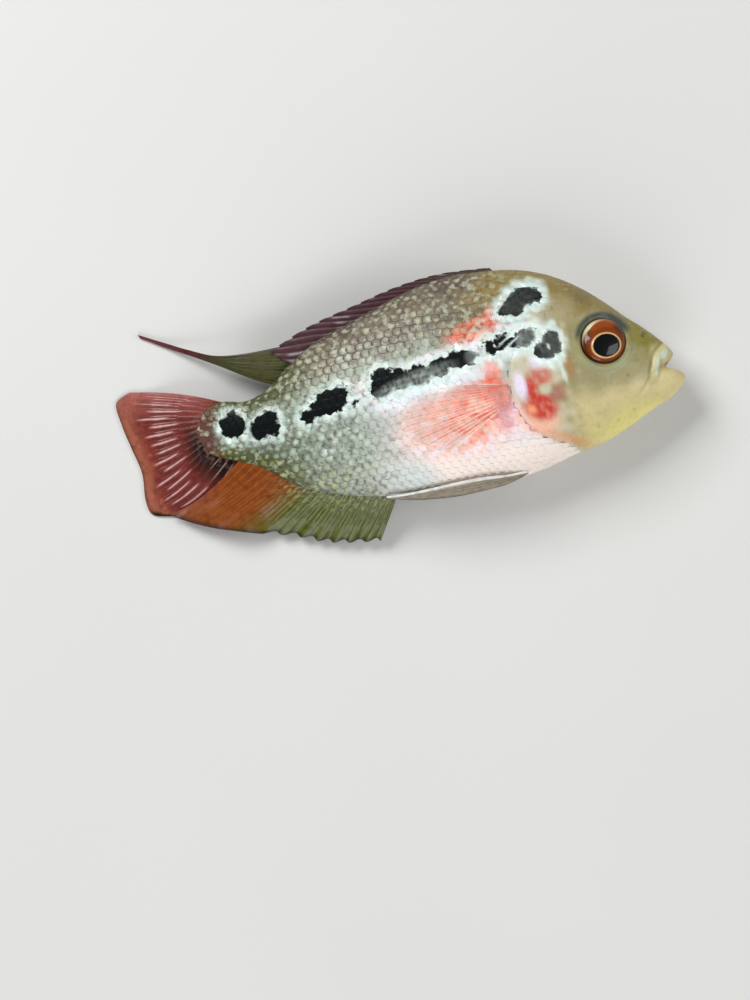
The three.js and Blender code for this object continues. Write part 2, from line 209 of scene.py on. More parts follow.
LATERAL_REAR = [(-9.0, -0.4), (-18.0, -0.9), (-27.0, -1.2), (-34.0, -1.2)]


def eye_distance(x, y):
    return np.hypot(x - EYE["x"], y - EYE["y"])


def lateral_distance(x, y):
    return np.minimum(line_distance(x, y, LATERAL_LINE)[0], line_distance(x, y, LATERAL_REAR)[0])


def skin_relief(x, y):
    """How far the skin stands out of the plain body, in millimetres."""
    from_eye = eye_distance(x, y)
    relief = 0.16 * bump(from_eye - 4.6, 0.5) - 1.7 * smooth(4.1, 3.35, from_eye)
    relief -= 0.08 * bump(from_eye - 5.4, 0.4)
    # gill cover: it stands over the shoulder behind it and closes on a soft fringe
    ahead, share = ahead_of(x, y, GILL_OPENING)
    reach = smooth(0.1, 0.3, share) * smooth(0.97, 0.8, share) * (1 - 0.6 * smooth(-1, 4, y))
    relief += reach * 0.3 * smooth(-0.25, 0.1, ahead) * smooth(5.0, 0.6, ahead)
    relief -= reach * 0.3 * bump(ahead + 0.35, 0.35)
    # front edge of the gill cover
    ahead, share = ahead_of(x, y, CHEEK_RIDGE)
    reach = smooth(0.0, 0.15, share) * smooth(1.0, 0.85, share)
    relief += reach * 0.2 * smooth(-0.3, 0.25, ahead) * smooth(3.5, 0.4, ahead)
    relief -= reach * 0.12 * bump(ahead + 0.35, 0.35)
    # jaws: the upper lip's roll, the crease behind the lower jaw, and the lower lip
    ahead, share = ahead_of(x, y, LIP_GROOVE)
    fade = smooth(1.0, 0.7, share)
    relief += fade * 0.36 * smooth(-0.05, 0.4, ahead) * smooth(1.9, 0.8, ahead)
    relief -= fade * 0.13 * bump(ahead + 0.12, 0.24)
    far, share, _ = line_distance(x, y, JAW_CREASE)
    relief -= 0.18 * bump(far, 0.3) * smooth(1.0, 0.6, share)
    relief += 0.3 * bump(np.hypot((x - 46.4) * 0.7, y + 4.9), 0.8)
    # ridge of bone over the eye, hollow cheek in front of it
    relief += 0.16 * bump(np.hypot((x - 35.6) * 0.6, y - 7.6), 1.3)
    relief -= 0.14 * bump(np.hypot(x - 40.6, (y + 0.5) * 0.8), 1.6)
    for pore_x, pore_y in HEAD_PORES:
        relief -= 0.16 * bump(np.hypot(x - pore_x, y - pore_y), 0.2)
    nostril = np.hypot(x - NOSTRIL[0], y - NOSTRIL[1])
    relief += 0.12 * bump(nostril - 0.62, 0.25) - 0.4 * bump(nostril, 0.34)
    relief += 0.05 * waves(x, y, 5.0, 11) * smooth(15, 24, x)
    return relief


def skin_normals(points):
    """Normals of a grid of points that closes around."""
    rows = np.gradient(points, axis=0)
    columns = (np.roll(points, -1, 1) - np.roll(points, 1, 1)) / 2
    normal = np.cross(columns, rows)
    length = np.linalg.norm(normal, axis=-1, keepdims=True)
    return np.where(length > 1e-9, normal / np.maximum(length, 1e-9), 0)


def flat_on_floor(points, lift=0.0):
    """Points moved up to a height where they lie under it. The floor is at nought."""
    points[..., 2] = np.maximum(points[..., 2], lift)
    return points


# Marks on the skin, as places on the side of the fish
BLACK_SPOTS = [  # x, y, half length, half height, turn in degrees
    (23.8, 12.2, 2.0, 1.5, 10), (21.7, 11.4, 1.9, 1.6, 30), (19.6, 10.4, 1.0, 0.9, 0),
    (25.5, 11.9, 0.9, 0.9, 0), (22.9, 12.5, 1.4, 1.3, 0), (21.4, 10.3, 1.5, 1.3, 0),
    (26.6, 4.3, 1.4, 1.5, 0), (25.6, 2.6, 1.5, 1.6, 30), (27.0, 3.0, 1.1, 1.5, 0), (24.4, 2.7, 0.9, 0.9, 0),
    (22.3, 5.2, 1.8, 1.4, 20), (23.0, 5.8, 1.2, 0.8, 10), (20.7, 5.1, 1.8, 1.0, 35),
    (18.4, 5.2, 1.5, 1.2, 50), (16.1, 4.5, 0.7, 1.1, 20), (12.2, 3.5, 1.7, 0.9, 10),
    (10.0, 3.5, 1.7, 1.4, 12), (7.2, 2.7, 2.0, 1.5, 12), (3.6, 2.0, 2.3, 1.6, 8), (0.4, 1.9, 2.0, 1.7, 5),
    (-2.6, 3.0, 1.7, 1.5, 20), (-2.9, 1.0, 1.9, 1.6, 0), (-10.5, 0.7, 1.7, 1.9, 0),
    (-12.6, 0.1, 1.9, 1.9, 10), (-14.4, -0.6, 1.3, 1.3, 10), (-15.9, -1.5, 1.2, 1.2, 20),
    (-7.9, -0.7, 0.5, 0.45, 0), (-23.9, -1.7, 2.8, 1.8, 28), (-22.6, -0.7, 1.5, 1.5, 0),
    (-22.3, -2.4, 1.1, 1.3, 0), (-29.1, -0.6, 2.05, 2.25, 0),
]
BAND = [(27.5, 4.0), (21.0, 5.2), (14.0, 4.4), (4.0, 2.2), (-6.0, 1.0), (-14.0, -0.4), (-22.0, -1.6)]


def turned(x, y, cx, cy, turn):
    """Places as seen from a centre, on axes turned by some degrees."""
    c, s = math.cos(math.radians(turn)), math.sin(math.radians(turn))
    return (x - cx) * c + (y - cy) * s, (y - cy) * c - (x - cx) * s


def black_field(x, y):
    """Millimetres inside the nearest black mark, less than nought outside."""
    field = np.full(np.shape(x), -50.0)
    for cx, cy, long, high, turn in BLACK_SPOTS:
        dx, dy = turned(x, y, cx, cy, turn)
        field = np.maximum(field, (1 - np.hypot(dx / long, dy / high)) * min(long, high))
    return field


def blob(x, y, cx, cy, long, high, turn, soft):
    """A soft oval mask."""
    dx, dy = turned(x, y, cx, cy, turn)
    return smooth(1 + soft, 1 - soft, np.hypot(dx / long, dy / high))


def linear(red, green, blue):
    """A colour of 0 to 255 as light."""
    value = np.array([red, green, blue]) / 255
    return np.where(value > 0.04045, ((value + 0.055) / 1.055) ** 2.4, value / 12.92)


OLIVE_BACK = linear(108, 96, 78)
OLIVE_TAN = linear(132, 115, 62)
GREY_FLANK = linear(152, 162, 150)
LAVENDER = linear(230, 222, 226)
BELLY = linear(236, 222, 212)
SALMON = linear(242, 104, 70)
PEACH = linear(250, 176, 150)
RED = linear(188, 44, 30)
CHEEK = linear(145, 137, 92)
CHEEK_PALE = linear(205, 190, 136)
SNOUT = linear(120, 112, 12)
CHIN = linear(216, 206, 124)
STALK = linear(67, 75, 28)
STALK_RED = linear(92, 44, 38)
HALO = linear(204, 226, 222)
PINK_WHITE = linear(236, 222, 228)
LILAC = linear(226, 216, 238)
OPERCLE = linear(192, 184, 158)
SMUDGE = linear(104, 94, 52)
SHADE = linear(66, 60, 46)
DORSAL_EDGE = linear(74, 50, 52)
MAUVE = linear(204, 134, 150)
UNDER_BAND = linear(226, 234, 240)
LIP = linear(194, 188, 136)
# painted highlight on the wet lips
LIP_HIGHLIGHT = linear(204, 222, 208)
# painted shade for the lip groove, the nostril and the pores
CREASE_SHADE = linear(92, 84, 34)
# the reddish inside of the mouth, darkened with painted shade
MOUTH = linear(120, 60, 40)
EYE_SHADE = linear(54, 68, 54)
MARK_GREY = linear(112, 120, 114)
HALO_WHITE = linear(232, 240, 236)
BELLY_GREY = linear(188, 202, 200)
LID_GREEN = linear(140, 160, 128)
CHEEK_SHADE = linear(142, 134, 98)
THROAT_ORANGE = linear(214, 140, 84)
RED_BROWN = linear(150, 84, 66)
PALE_SPOT = linear(186, 190, 160)
ORANGE_SPOT = linear(240, 160, 110)
RUST = linear(160, 112, 72)
PEARL_TAN = linear(178, 176, 144)
PEARL_BLUE = linear(204, 222, 212)
PEARL_YELLOW = linear(178, 186, 104)
PEARL_WHITE = linear(244, 240, 240)
PEARL_GREEN = linear(170, 208, 176)

# Soft oval patches: colour, strength, x, y, half length, half height, turn in degrees, softness, grain
FLUSH = [
    (SALMON, 0.85, 13.6, 7.9, 4.6, 1.7, 14, 0.55, "fibres"),
    (SALMON, 0.8, 17.6, 9.0, 1.5, 2.2, 0, 0.6, "fibres"),
    (PEACH, 0.85, 9.0, -6.8, 9.0, 5.2, 2, 0.5, "plain"),
    (SALMON, 0.85, 11.0, -6.2, 6.6, 4.2, 4, 0.6, "streaks"),
    (SALMON, 0.9, 13.0, -1.9, 4.6, 1.3, 0, 0.5, "faint_fibres"),
    (SALMON, 0.85, 15.6, 0.2, 1.5, 2.4, -20, 0.6, "plain"),
    (MAUVE, 0.7, 16.8, -6.6, 1.5, 3.0, 0, 0.6, "plain"),
    (PINK_WHITE, 0.8, 4.0, -7.6, 4.6, 4.4, 0, 0.6, "dashes"),
    (PINK_WHITE, 0.8, 9.0, -11.2, 9.0, 1.8, 2, 0.6, "flecks"),
    (UNDER_BAND, 0.9, 5.0, -0.7, 9.6, 1.5, 9, 0.5, "plain"),
    (BELLY_GREY, 0.75, -0.6, -14.6, 4.6, 2.4, -12, 0.6, "plain"),
]
SMUDGES = [  # over the eye and on the nape
    (SMUDGE, 0.6, 32.9, 10.7, 2.0, 1.2, -20, 0.6, "plain"),
    (SMUDGE, 0.4, 26.3, 8.2, 1.6, 0.9, 0, 0.7, "plain"),
]
# painted highlights: on the roll of the upper lip, and a thin line along the edge of the upper jaw
LIP_HIGHLIGHTS = [
    (LIP_HIGHLIGHT, 0.8, 45.2, -1.4, 1.0, 0.55, 45, 0.5, "plain"),
    (LIP_HIGHLIGHT, 0.6, 43.7, -3.0, 0.35, 1.5, -14, 0.6, "plain"),
]
CHEEK_MARKS = [
    (CHEEK_SHADE, 0.5, 32.0, -3.6, 3.4, 2.6, 10, 0.7, "plain"),
    (THROAT_ORANGE, 0.55, 25.5, -12.2, 5.2, 0.8, -24, 0.6, "plain"),
]
RED_OVALS = [  # strength, and an oval
    (1.0, (22.9, -6.6, 3.0, 2.3, -30, 0.35)),
    (0.8, (23.5, -1.7, 2.1, 1.7, 0, 0.4)),
    (1.0, (22.0, -3.6, 1.3, 2.4, 10, 0.4)),
]
GILL_SPOTS = [  # in and round the red patch of the gill cover
    (RED_BROWN, 0.8, 26.0, -4.9, 1.5, 1.6, -20, 0.5, "plain"),
    (PALE_SPOT, 0.9, 24.1, -3.9, 1.0, 0.85, 0, 0.5, "plain"),
    (ORANGE_SPOT, 0.8, 21.3, -6.8, 0.7, 0.7, 0, 0.6, "plain"),
    (RED, 0.85, 22.6, -5.3, 1.2, 0.9, -20, 0.5, "plain"),
    (RUST, 0.6, 28.8, -0.9, 0.8, 2.0, 8, 0.6, "plain"),
    (LILAC, 0.9, 23.9, 1.3, 1.7, 1.5, 40, 0.5, "plain"),
    (HALO, 0.8, 27.5, -1.0, 0.35, 2.4, 10, 0.5, "plain"),
    (LILAC, 0.95, 20.1, -2.6, 0.95, 2.3, 6, 0.45, "plain"),
    (LILAC, 0.4, 18.6, -7.6, 1.4, 2.8, 10, 0.6, "scraps"),
]
MARK_DOT = (25.9, 3.05, 0.3, 0.36, 0, 0.3)  # a pale dot within the mark over the gill cover


def mix(base, colour, amount):
    return base + (colour - base) * np.clip(amount, 0, 1)[..., None]


def flood(x, colour):
    """One colour at every place."""
    return np.broadcast_to(colour, np.shape(x) + (3,))


def grains(x, y):
    """The textures that patches are broken up by."""
    fibre = waves(x * 0.35 - y * 0.1, y * 1.5, 2.2, 21)
    return {
        "plain": 1.0,
        "fibres": 0.8 + 0.3 * fibre,
        "faint_fibres": 0.75 + 0.3 * fibre,
        "streaks": smooth(-0.6, 0.7, waves(x * 0.35, y * 1.1, 2.0, 23)),
        "dashes": smooth(0.1, 0.7, waves(x * 0.5, y, 2.0, 28)),
        "flecks": smooth(-0.3, 0.5, waves(x, y, 2.4, 27)),
        "scraps": smooth(-0.4, 0.5, waves(x, y, 1.6, 35)),
    }


def daub(c, x, y, patches):
    """Soft oval patches laid over a colour."""
    grain = grains(x, y)
    for colour, strength, *oval, kind in patches:
        c = mix(c, colour, strength * blob(x, y, *oval) * grain[kind])
    return c


def flank_height(x, y):
    """-1 at the belly to 1 at the back."""
    r = spline(RINGS, place_of(x))
    above = y - r[..., 3]
    reach = np.where(above > 0, r[..., 1] - r[..., 3], r[..., 3] - r[..., 5])
    return above / np.maximum(reach, 1e-9)


def flank_colour(x, y, height):
    """Olive back, grey flank, pale belly, dark tail stalk and the pale band that carries the marks."""
    c = mix(flood(x, GREY_FLANK), OLIVE_BACK, smooth(0.2, 0.62, height))
    c = mix(c, LAVENDER, 0.9 * smooth(0.15, -0.25, height) * smooth(-10, 6, x))
    c = mix(c, BELLY, smooth(-0.5, -0.8, height) * smooth(-9, 6, x))
    c = mix(c, STALK, smooth(-8, -24, x) * (0.5 + 0.5 * smooth(0.1, 0.8, np.abs(height + 0.1))))
    c = mix(c, OLIVE_TAN, smooth(8, 20, x) * smooth(0.3, 0.7, height))
    c = mix(c, DORSAL_EDGE, 0.7 * smooth(0.84, 0.97, height) * smooth(19, 12, x) * smooth(-19, -10, x))
    c = mix(c, STALK_RED, smooth(-30.2 + 0.8 * waves(x, y, 1.6, 12), -33.4, x) * 0.95)
    c = mix(c, SHADE, 0.4 * bump(lateral_distance(x, y) - 0.4, 0.3))
    far, share, _ = line_distance(x, y, BAND)
    band = smooth(3.4, 1.7, far + 0.5 * waves(x, y, 3.0, 8)) * smooth(0.78, 0.6, share)
    c = mix(c, PINK_WHITE, 0.9 * band)
    band_share = np.clip((x - BAND[-1][0]) / (BAND[0][0] - BAND[-1][0]), 0, 1)
    below = smooth(0.6, -1.0, y - along(BAND[::-1], band_share)[..., 1])
    return mix(c, PINK_WHITE, 0.85 * below * blob(x, y, 5.0, -0.6, 9.0, 2.6, 8, 0.5))


def head_colour(c, x, y, height):
    """Pale greyish gill cover, olive yellow cheek before it, green snout and yellow chin."""
    ahead, _ = ahead_of(x, y, GILL_OPENING)
    head = smooth(-0.8, 0.8, ahead) * smooth(11.5, 8.5, y - 0.55 * (x - 22))
    c = mix(c, OPERCLE, head * smooth(0.85, 0.5, height))
    cheek_front = x + 1.2 * waves(x, y, 3.4, 33)
    c = mix(c, CHEEK, head * smooth(0.85, 0.5, height) * smooth(25.5, 29.5, cheek_front))
    c = mix(c, CHEEK_PALE, head * smooth(-0.1, -0.5, height) * 0.8 * smooth(26, 31, x))
    c = mix(c, SNOUT, smooth(35, 43, x) * smooth(0.15, 0.6, height) * 0.85)
    c = mix(c, OLIVE_TAN, 0.55 * smooth(26, 31, x) * smooth(0.55, 0.8, height) * smooth(42, 38, x))
    c = mix(c, CHIN, smooth(27, 37, x) * smooth(-0.55, -0.95, height) * 0.9)
    c = mix(c, CHEEK_PALE, 0.6 * smooth(42.2, 43.6, x) * smooth(1.2, -0.4, y))
    return daub(c, x, y, SMUDGES)


def jaw_colour(c, x, y):
    """Lips with painted highlights, the mouth's corner with painted shade, and painted shade in the lip
    groove, nostril and pores.
    """
    ahead, share = ahead_of(x, y, LIP_GROOVE)
    c = mix(c, LIP, 0.85 * smooth(0.0, 0.35, ahead) * smooth(1.4, 0.9, ahead) * smooth(1, 0.8, share))
    # painted highlights on the upper lip and along the edge of the upper jaw
    c = daub(c, x, y, LIP_HIGHLIGHTS)
    # painted shade in the groove behind the upper lip
    c = mix(c, CREASE_SHADE, 0.4 * bump(ahead + 0.15, 0.24) * smooth(0.0, 0.1, share) * smooth(1, 0.6, share))
    # the mouth's corner: its reddish inside, with painted shade in the opening
    c = mix(c, MOUTH, 0.8 * bump(np.hypot((x - MOUTH_CORNER[0]) * 0.55, y - MOUTH_CORNER[1]), 0.55))
    # painted shade in the nostril's pit and in each pore
    c = mix(c, CREASE_SHADE, 0.6 * bump(np.hypot(x - NOSTRIL[0], y - NOSTRIL[1]), 0.42))
    for pore_x, pore_y in HEAD_PORES:
        c = mix(c, CREASE_SHADE, 0.35 * bump(np.hypot(x - pore_x, y - pore_y), 0.24))
    return c


def gill_colour(c, x, y):
    """Red patch of the gill cover, with pale spots, and the pale base of the pectoral fin."""
    red = np.max([strength * blob(x, y, *oval) for strength, oval in RED_OVALS], axis=0)
    c = mix(c, PEACH, 0.6 * blob(x, y, 22.0, -8.6, 3.6, 2.4, -20, 0.5))
    c = mix(c, RED, 0.97 * red * np.clip(0.94 + 0.3 * waves(x, y, 1.5, 31), 0, 1))
    return daub(c, x, y, GILL_SPOTS)


def mark_edges(c, x, y):
    """Pale edges of the black marks, and dark grey skin within them but for pale streaks and a dot."""
    near = black_field(x, y)
    edge_wide = 0.75 + 0.3 * waves(x, y, 2.2, 3) + 0.3 * smooth(14, 20, x) - 0.6 * smooth(27.2, 28.4, x)
    edge_wide = edge_wide - 0.4 * smooth(-18, -24, x)
    patchy = 0.88 + 0.16 * waves(x, y, 1.3, 4)
    halo = mix(flood(x, HALO), HALO_WHITE, smooth(0.0, 0.9, waves(x, y, 1.5, 6)))
    c = mix(c, halo, patchy * smooth(-edge_wide - 1.1, -edge_wide + 0.5, near))
    pale = np.maximum(blob(x, y, 19.4, 5.2, 2.2, 1.6, 30, 0.3), blob(x, y, *MARK_DOT))
    return mix(c, MARK_GREY, smooth(-0.1, 0.3, near) * (1 - pale))


def ground_colour(x, y):
    """The fish's colour under its black marks."""
    height = flank_height(x, y) + 0.07 * waves(x, y, 6.0, 5)
    c = daub(flank_colour(x, y, height), x, y, FLUSH)
    c = jaw_colour(head_colour(c, x, y, height), x, y)
    from_eye = eye_distance(x, y)
    c = mix(c, EYE_SHADE, 0.95 * smooth(5.5, 4.7, from_eye) * smooth(2.4, 4.6, y))
    c = mix(c, LID_GREEN, 0.5 * bump(from_eye - 4.8, 0.6) * smooth(2.4, -1.0, y))
    c = daub(c, x, y, CHEEK_MARKS)
    return mark_edges(gill_colour(c, x, y), x, y)


# Making meshes
def make_object(name, vertices, faces, material):
    """A smooth piece from millimetres on the fish. Its faces are rows of vertex numbers."""
    mesh = bpy.data.meshes.new(name)
    mesh.from_pydata(((np.asarray(vertices) + SHIFT) * MM).tolist(), [], faces)
    mesh.polygons.foreach_set("use_smooth", [True] * len(mesh.polygons))
    mesh.update()
    piece = bpy.data.objects.new(name, mesh)
    bpy.context.scene.collection.objects.link(piece)
    mesh.materials.append(material)
    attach(piece, "root")
    return piece


def add_values(piece, name, values):
    layer = piece.data.attributes.new(name, "FLOAT", "POINT")
    layer.data.foreach_set("value", np.ravel(values).astype(np.float32))


def add_colours(piece, name, colours):
    layer = piece.data.attributes.new(name, "FLOAT_COLOR", "POINT")
    flat = np.concatenate([colours.reshape(-1, 3), np.ones((colours.size // 3, 1))], 1)
    layer.data.foreach_set("color", flat.ravel().astype(np.float32))


def corner_vertices(mesh):
    """The vertex at each corner of each face."""
    corners = np.empty(len(mesh.loops), np.int32)
    mesh.loops.foreach_get("vertex_index", corners)
    return corners


def add_map(piece, uv):
    """The map that the export paints on, from a pair for each corner."""
    layer = piece.data.uv_layers.new(name="OFBake")
    layer.data.foreach_set("uv", uv.astype(np.float32).ravel())


def grid_faces(rows, columns, closed=False):
    """Quads of a grid of vertices, in rows, that may close around its columns."""
    i, j = np.meshgrid(np.arange(rows - 1), np.arange(columns if closed else columns - 1), indexing="ij")
    k = (j + 1) % columns
    quads = np.stack([i * columns + j, i * columns + k, (i + 1) * columns + k, (i + 1) * columns + j], -1)
    return quads.reshape(-1, 4).tolist()


def grid_border(rows, columns):
    """The vertices around the edge of a grid, in order."""
    number = np.arange(rows * columns).reshape(rows, columns)
    return np.concatenate([number[0], number[1:, -1], number[-1, -2::-1], number[-2:0:-1, 0]])


def closed_faces(rows, columns):
    """Faces of a tube of rings of vertices, closed at each end by one of the two vertices after them."""
    faces = grid_faces(rows, columns, closed=True)
    start, end, last_ring = rows * columns, rows * columns + 1, (rows - 1) * columns
    for j in range(columns):
        k = (j + 1) % columns
        faces.append([start, k, j])
        faces.append([end, last_ring + j, last_ring + k])
    return faces


# Materials
def new_material(name):
    material = bpy.data.materials.new(name)
    material.use_nodes = True
    tree = material.node_tree
    return material, tree, tree.nodes["Principled BSDF"]


def node(tree, kind, values=(), **settings):
    made = tree.nodes.new(kind)
    for key, value in settings.items():
        setattr(made, key, value)
    for key, value in dict(values).items():
        if isinstance(value, bpy.types.NodeSocket):
            tree.links.new(value, made.inputs[key])
        else:
            made.inputs[key].default_value = value
    return made


def attribute(tree, name, colour=False):
    made = node(tree, "ShaderNodeAttribute", attribute_name=name)
    return made.outputs["Color" if colour else "Fac"]


def math_node(tree, operation, a, b):
    return node(tree, "ShaderNodeMath", {0: a, 1: b}, operation=operation).outputs[0]


def blend_colours(tree, amount, first, second, blend="MIX"):
    values = {0: amount, 6: first, 7: second}
    return node(tree, "ShaderNodeMix", values, data_type="RGBA", blend_type=blend).outputs[2]


def ramp(tree, value, low, high):
    """Nought up to low, 1 from high."""
    made = node(tree, "ShaderNodeMapRange", {0: value, 1: low, 2: high}, interpolation_type="SMOOTHSTEP")
    return made.outputs[0]


def span(tree, share, none, full):
    """A value that goes from none to full with a share."""
    return node(tree, "ShaderNodeMapRange", {0: share, 3: none, 4: full}).outputs[0]


def noise(tree, scale, detail):
    place = node(tree, "ShaderNodeTexCoord").outputs["Object"]
    made = node(tree, "ShaderNodeTexNoise", {"Vector": place, "Scale": scale, "Detail": detail})
    return made.outputs["Fac"]


def rgba(colour):
    return (*[float(v) for v in colour], 1.0)


def bump_to(tree, shader, height, distance, strength):
    made = node(tree, "ShaderNodeBump", {"Height": height, "Distance": distance, "Strength": strength})
    tree.links.new(made.outputs[0], shader.inputs["Normal"])


MOTTLING = [  # grain, from and to in the grain, strength, colour
    (1150, 0.5, 0.66, 0.58, linear(58, 54, 40)),
    (870, 0.52, 0.68, 0.5, linear(196, 206, 182)),
]
SCALE_RIM = linear(66, 60, 46)
BLACK = linear(6, 12, 12)


def skin_material(name, coat):
    """Wet skin: ground colour and black marks from the piece, with fine mottling."""
    material, tree, shader = new_material(name)
    colour = attribute(tree, "ground", True)
    mottle = attribute(tree, "mottle")
    for grain, low, high, strength, tint in MOTTLING:
        amount = math_node(tree, "MULTIPLY", ramp(tree, noise(tree, grain, 2), low, high), mottle)
        colour = blend_colours(tree, math_node(tree, "MULTIPLY", amount, strength), colour, rgba(tint))
    if coat:
        pearl_colour = attribute(tree, "pearl_colour", True)
        colour = blend_colours(tree, attribute(tree, "pearl"), colour, pearl_colour)
        colour = blend_colours(tree, attribute(tree, "rim"), colour, rgba(SCALE_RIM))
    ragged = math_node(tree, "SUBTRACT", noise(tree, 900, 2), 0.3)
    edge = math_node(tree, "ADD", attribute(tree, "black"), math_node(tree, "MULTIPLY", ragged, 1.6))
    marked = math_node(tree, "MULTIPLY", ramp(tree, edge, 0.12, 0.4), attribute(tree, "depth"))
    tree.links.new(blend_colours(tree, marked, colour, rgba(BLACK)), shader.inputs["Base Color"])
    tree.links.new(span(tree, marked, 0.4, 0.1), shader.inputs["Specular IOR Level"])
    tree.links.new(span(tree, marked, 0.2, 0.05), shader.inputs["Coat Weight"])
    shader.inputs["Roughness"].default_value = 0.46
    shader.inputs["Coat Roughness"].default_value = 0.36
    bump_to(tree, shader, noise(tree, 2600, 4), 0.00004, 0.5)
    return material


def add_markings(piece, x, y, ground, black):
    """What the skin's material reads: colour, black marks and how deep marks and mottling are."""
    add_colours(piece, "ground", ground)
    add_values(piece, "black", black)
    add_values(piece, "depth", mark_depth(x, y))
    add_values(piece, "mottle", mottle_depth(x, y))


# Skin
SKIN_RINGS = [(0, 9, 150), (9, 14, 60), (14, 18, 90), (18, LAST_RING, 96)]  # from a ring, to one, how many
SKIN_COLUMNS = 220
LIPS_FROM = 18.5  # the ring from which the skin, bare of scales, lies nearer to the solids' surface
LIP_COAT = 0.06
MAP_SHARE, MAP_MARGIN = 0.96, 0.02
FLESH = ["head", "upper_jaw", "lower_jaw", "gill_cover_right", "gill_cover_left", "trunk", "tail_stalk"]


def make_skin():
    places = np.concatenate([np.linspace(a, b, n, endpoint=False) for a, b, n in SKIN_RINGS])
    angles = np.arange(SKIN_COLUMNS) * 2 * math.pi / SKIN_COLUMNS
    place, angle = np.meshgrid(places[1:], angles, indexing="ij")
    points = ring_point(place, angle)
    on_side = smooth(0.12, 0.4, np.abs(np.sin(angle)))
    relief = skin_relief(points[..., 0], points[..., 1]) * on_side
    depth = np.where(place < LIPS_FROM, COAT, LIP_COAT) * np.minimum(place, 1)
    points = points + skin_normals(points) * (relief - depth)[..., None]
    points = flat_on_floor(points, 0.02)
    ends = ring_point(np.array([0.0, LAST_RING]), np.zeros(2))
    vertices = np.concatenate([points.reshape(-1, 3), ends])
    piece = make_object("skin", vertices, closed_faces(*place.shape), skin_material("skin", coat=False))
    x, y = vertices[:, 0], vertices[:, 1]
    add_markings(piece, x, y, ground_colour(x, y), black_field(x, y))
    share = np.concatenate([(place / LAST_RING).ravel(), [0.0, 1.0]])
    around = np.concatenate([(angle / (2 * math.pi)).ravel(), [0.5, 0.5]])
    add_skin_map(piece, share, around)
    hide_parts(*FLESH)


def add_skin_map(piece, share, around):
    """The skin's map, with the seam along the back, where a face may not wrap around."""
    corners = corner_vertices(piece.data)
    uv = np.stack([share[corners], around[corners]], 1)
    totals = np.empty(len(piece.data.polygons), np.int32)
    piece.data.polygons.foreach_get("loop_total", totals)
    owner = np.repeat(np.arange(len(totals)), totals)
    highest = np.zeros(len(totals))
    np.maximum.at(highest, owner, uv[:, 1])
    wraps = (highest[owner] > 0.9) & (uv[:, 1] < 0.1)
    uv[wraps, 1] += 1.0
    add_map(piece, uv * MAP_SHARE + MAP_MARGIN)


def mark_depth(x, y):
    """How black a mark is: the long one is grey and speckled below, others have pale streaks and a dot."""
    speckle = 0.5 + 0.5 * waves(x, y, 1.0, 41)
    streak = smooth(0.2, 0.9, np.sin((x * 0.62 - y * 0.95) * 2 * math.pi / 1.25))
    greyed = [
        (0.25 + 0.75 * smooth(0.1, 0.55, speckle), (2.6, 1.2, 6.8, 1.5, 13, 0.35)),
        (0.6, (13.4, 3.6, 1.6, 1.2, 10, 0.4)),
        (0.95 * streak, (19.6, 5.2, 2.0, 1.6, 30, 0.3)),
        (0.48 + 0.4 * speckle, (22.8, 5.2, 1.9, 1.6, 20, 0.4)),
        (0.23 + 0.3 * speckle, (26.2, 3.5, 2.2, 2.4, 0, 0.4)),
        (0.12 + 0.16 * speckle, (22.4, 11.6, 3.4, 2.2, 10, 0.4)),
    ]
    grey = np.max([strength * blob(x, y, *oval) for strength, oval in greyed], axis=0)
    return 1 - np.maximum(np.clip(grey, 0, 1) * 0.85, blob(x, y, *MARK_DOT))


def mottle_depth(x, y):
    """How mottled the skin is: most on the back and the rear, little on the head and the belly."""
    height = flank_height(x, y)
    body = 0.25 + 0.75 * np.maximum(smooth(0.1, 0.45, height), smooth(4, -10, x))
    body = body * (1 - 0.8 * smooth(-0.5, -0.8, height) * smooth(-6, 6, x))
    return body * smooth(24, 14, x) + 0.14 * smooth(14, 24, x)


# Scales
LATTICE_X = np.linspace(-35.0, 42.0, 300)
LATTICE_A = np.linspace(-math.pi / 2, 3 * math.pi / 2, 361)


def arc_table():
    """Arc length around the flank from the widest line, at each x and angle of the lattice."""
    place, angle = np.meshgrid(place_of(LATTICE_X), LATTICE_A, indexing="ij")
    points = ring_point(place, angle)
    step = np.linalg.norm(np.diff(points, axis=1), axis=-1)
    arc = np.concatenate([np.zeros((len(LATTICE_X), 1)), np.cumsum(step, 1)], 1)
    middle = np.searchsorted(LATTICE_A, math.pi / 2)
    return arc[:, middle : middle + 1] - arc


ARCS = arc_table()
ARC_STEPS = np.linspace(-46, 46, 461)
ANGLE_TABLE = np.array([np.interp(ARC_STEPS, row[::-1], LATTICE_A[::-1]) for row in ARCS])


def angle_from_arc(x, arc):
    """The angle at an arc length above the widest line."""
    i = np.clip((x - LATTICE_X[0]) / (LATTICE_X[1] - LATTICE_X[0]), 0, len(LATTICE_X) - 1.001)
    j = np.clip((arc - ARC_STEPS[0]) / (ARC_STEPS[1] - ARC_STEPS[0]), 0, len(ARC_STEPS) - 1.001)
    i0, j0 = i.astype(int), j.astype(int)
    fi, fj = i - i0, j - j0
    low = ANGLE_TABLE[i0, j0] * (1 - fj) + ANGLE_TABLE[i0, j0 + 1] * fj
    high = ANGLE_TABLE[i0 + 1, j0] * (1 - fj) + ANGLE_TABLE[i0 + 1, j0 + 1] * fj
    return low * (1 - fi) + high * fi


def surface(x, angle, side):
    """Points and normals of the body at x and an angle from the back, on one side."""
    place = place_of(x)
    angle = angle * side
    here = ring_point(place, angle)
    ahead = ring_point(place + 0.01, angle) - here
    around = ring_point(place, angle + 0.01) - here
    normal = np.cross(around, ahead)
    normal /= np.maximum(np.linalg.norm(normal, axis=-1, keepdims=True), 1e-9)
    return here, normal


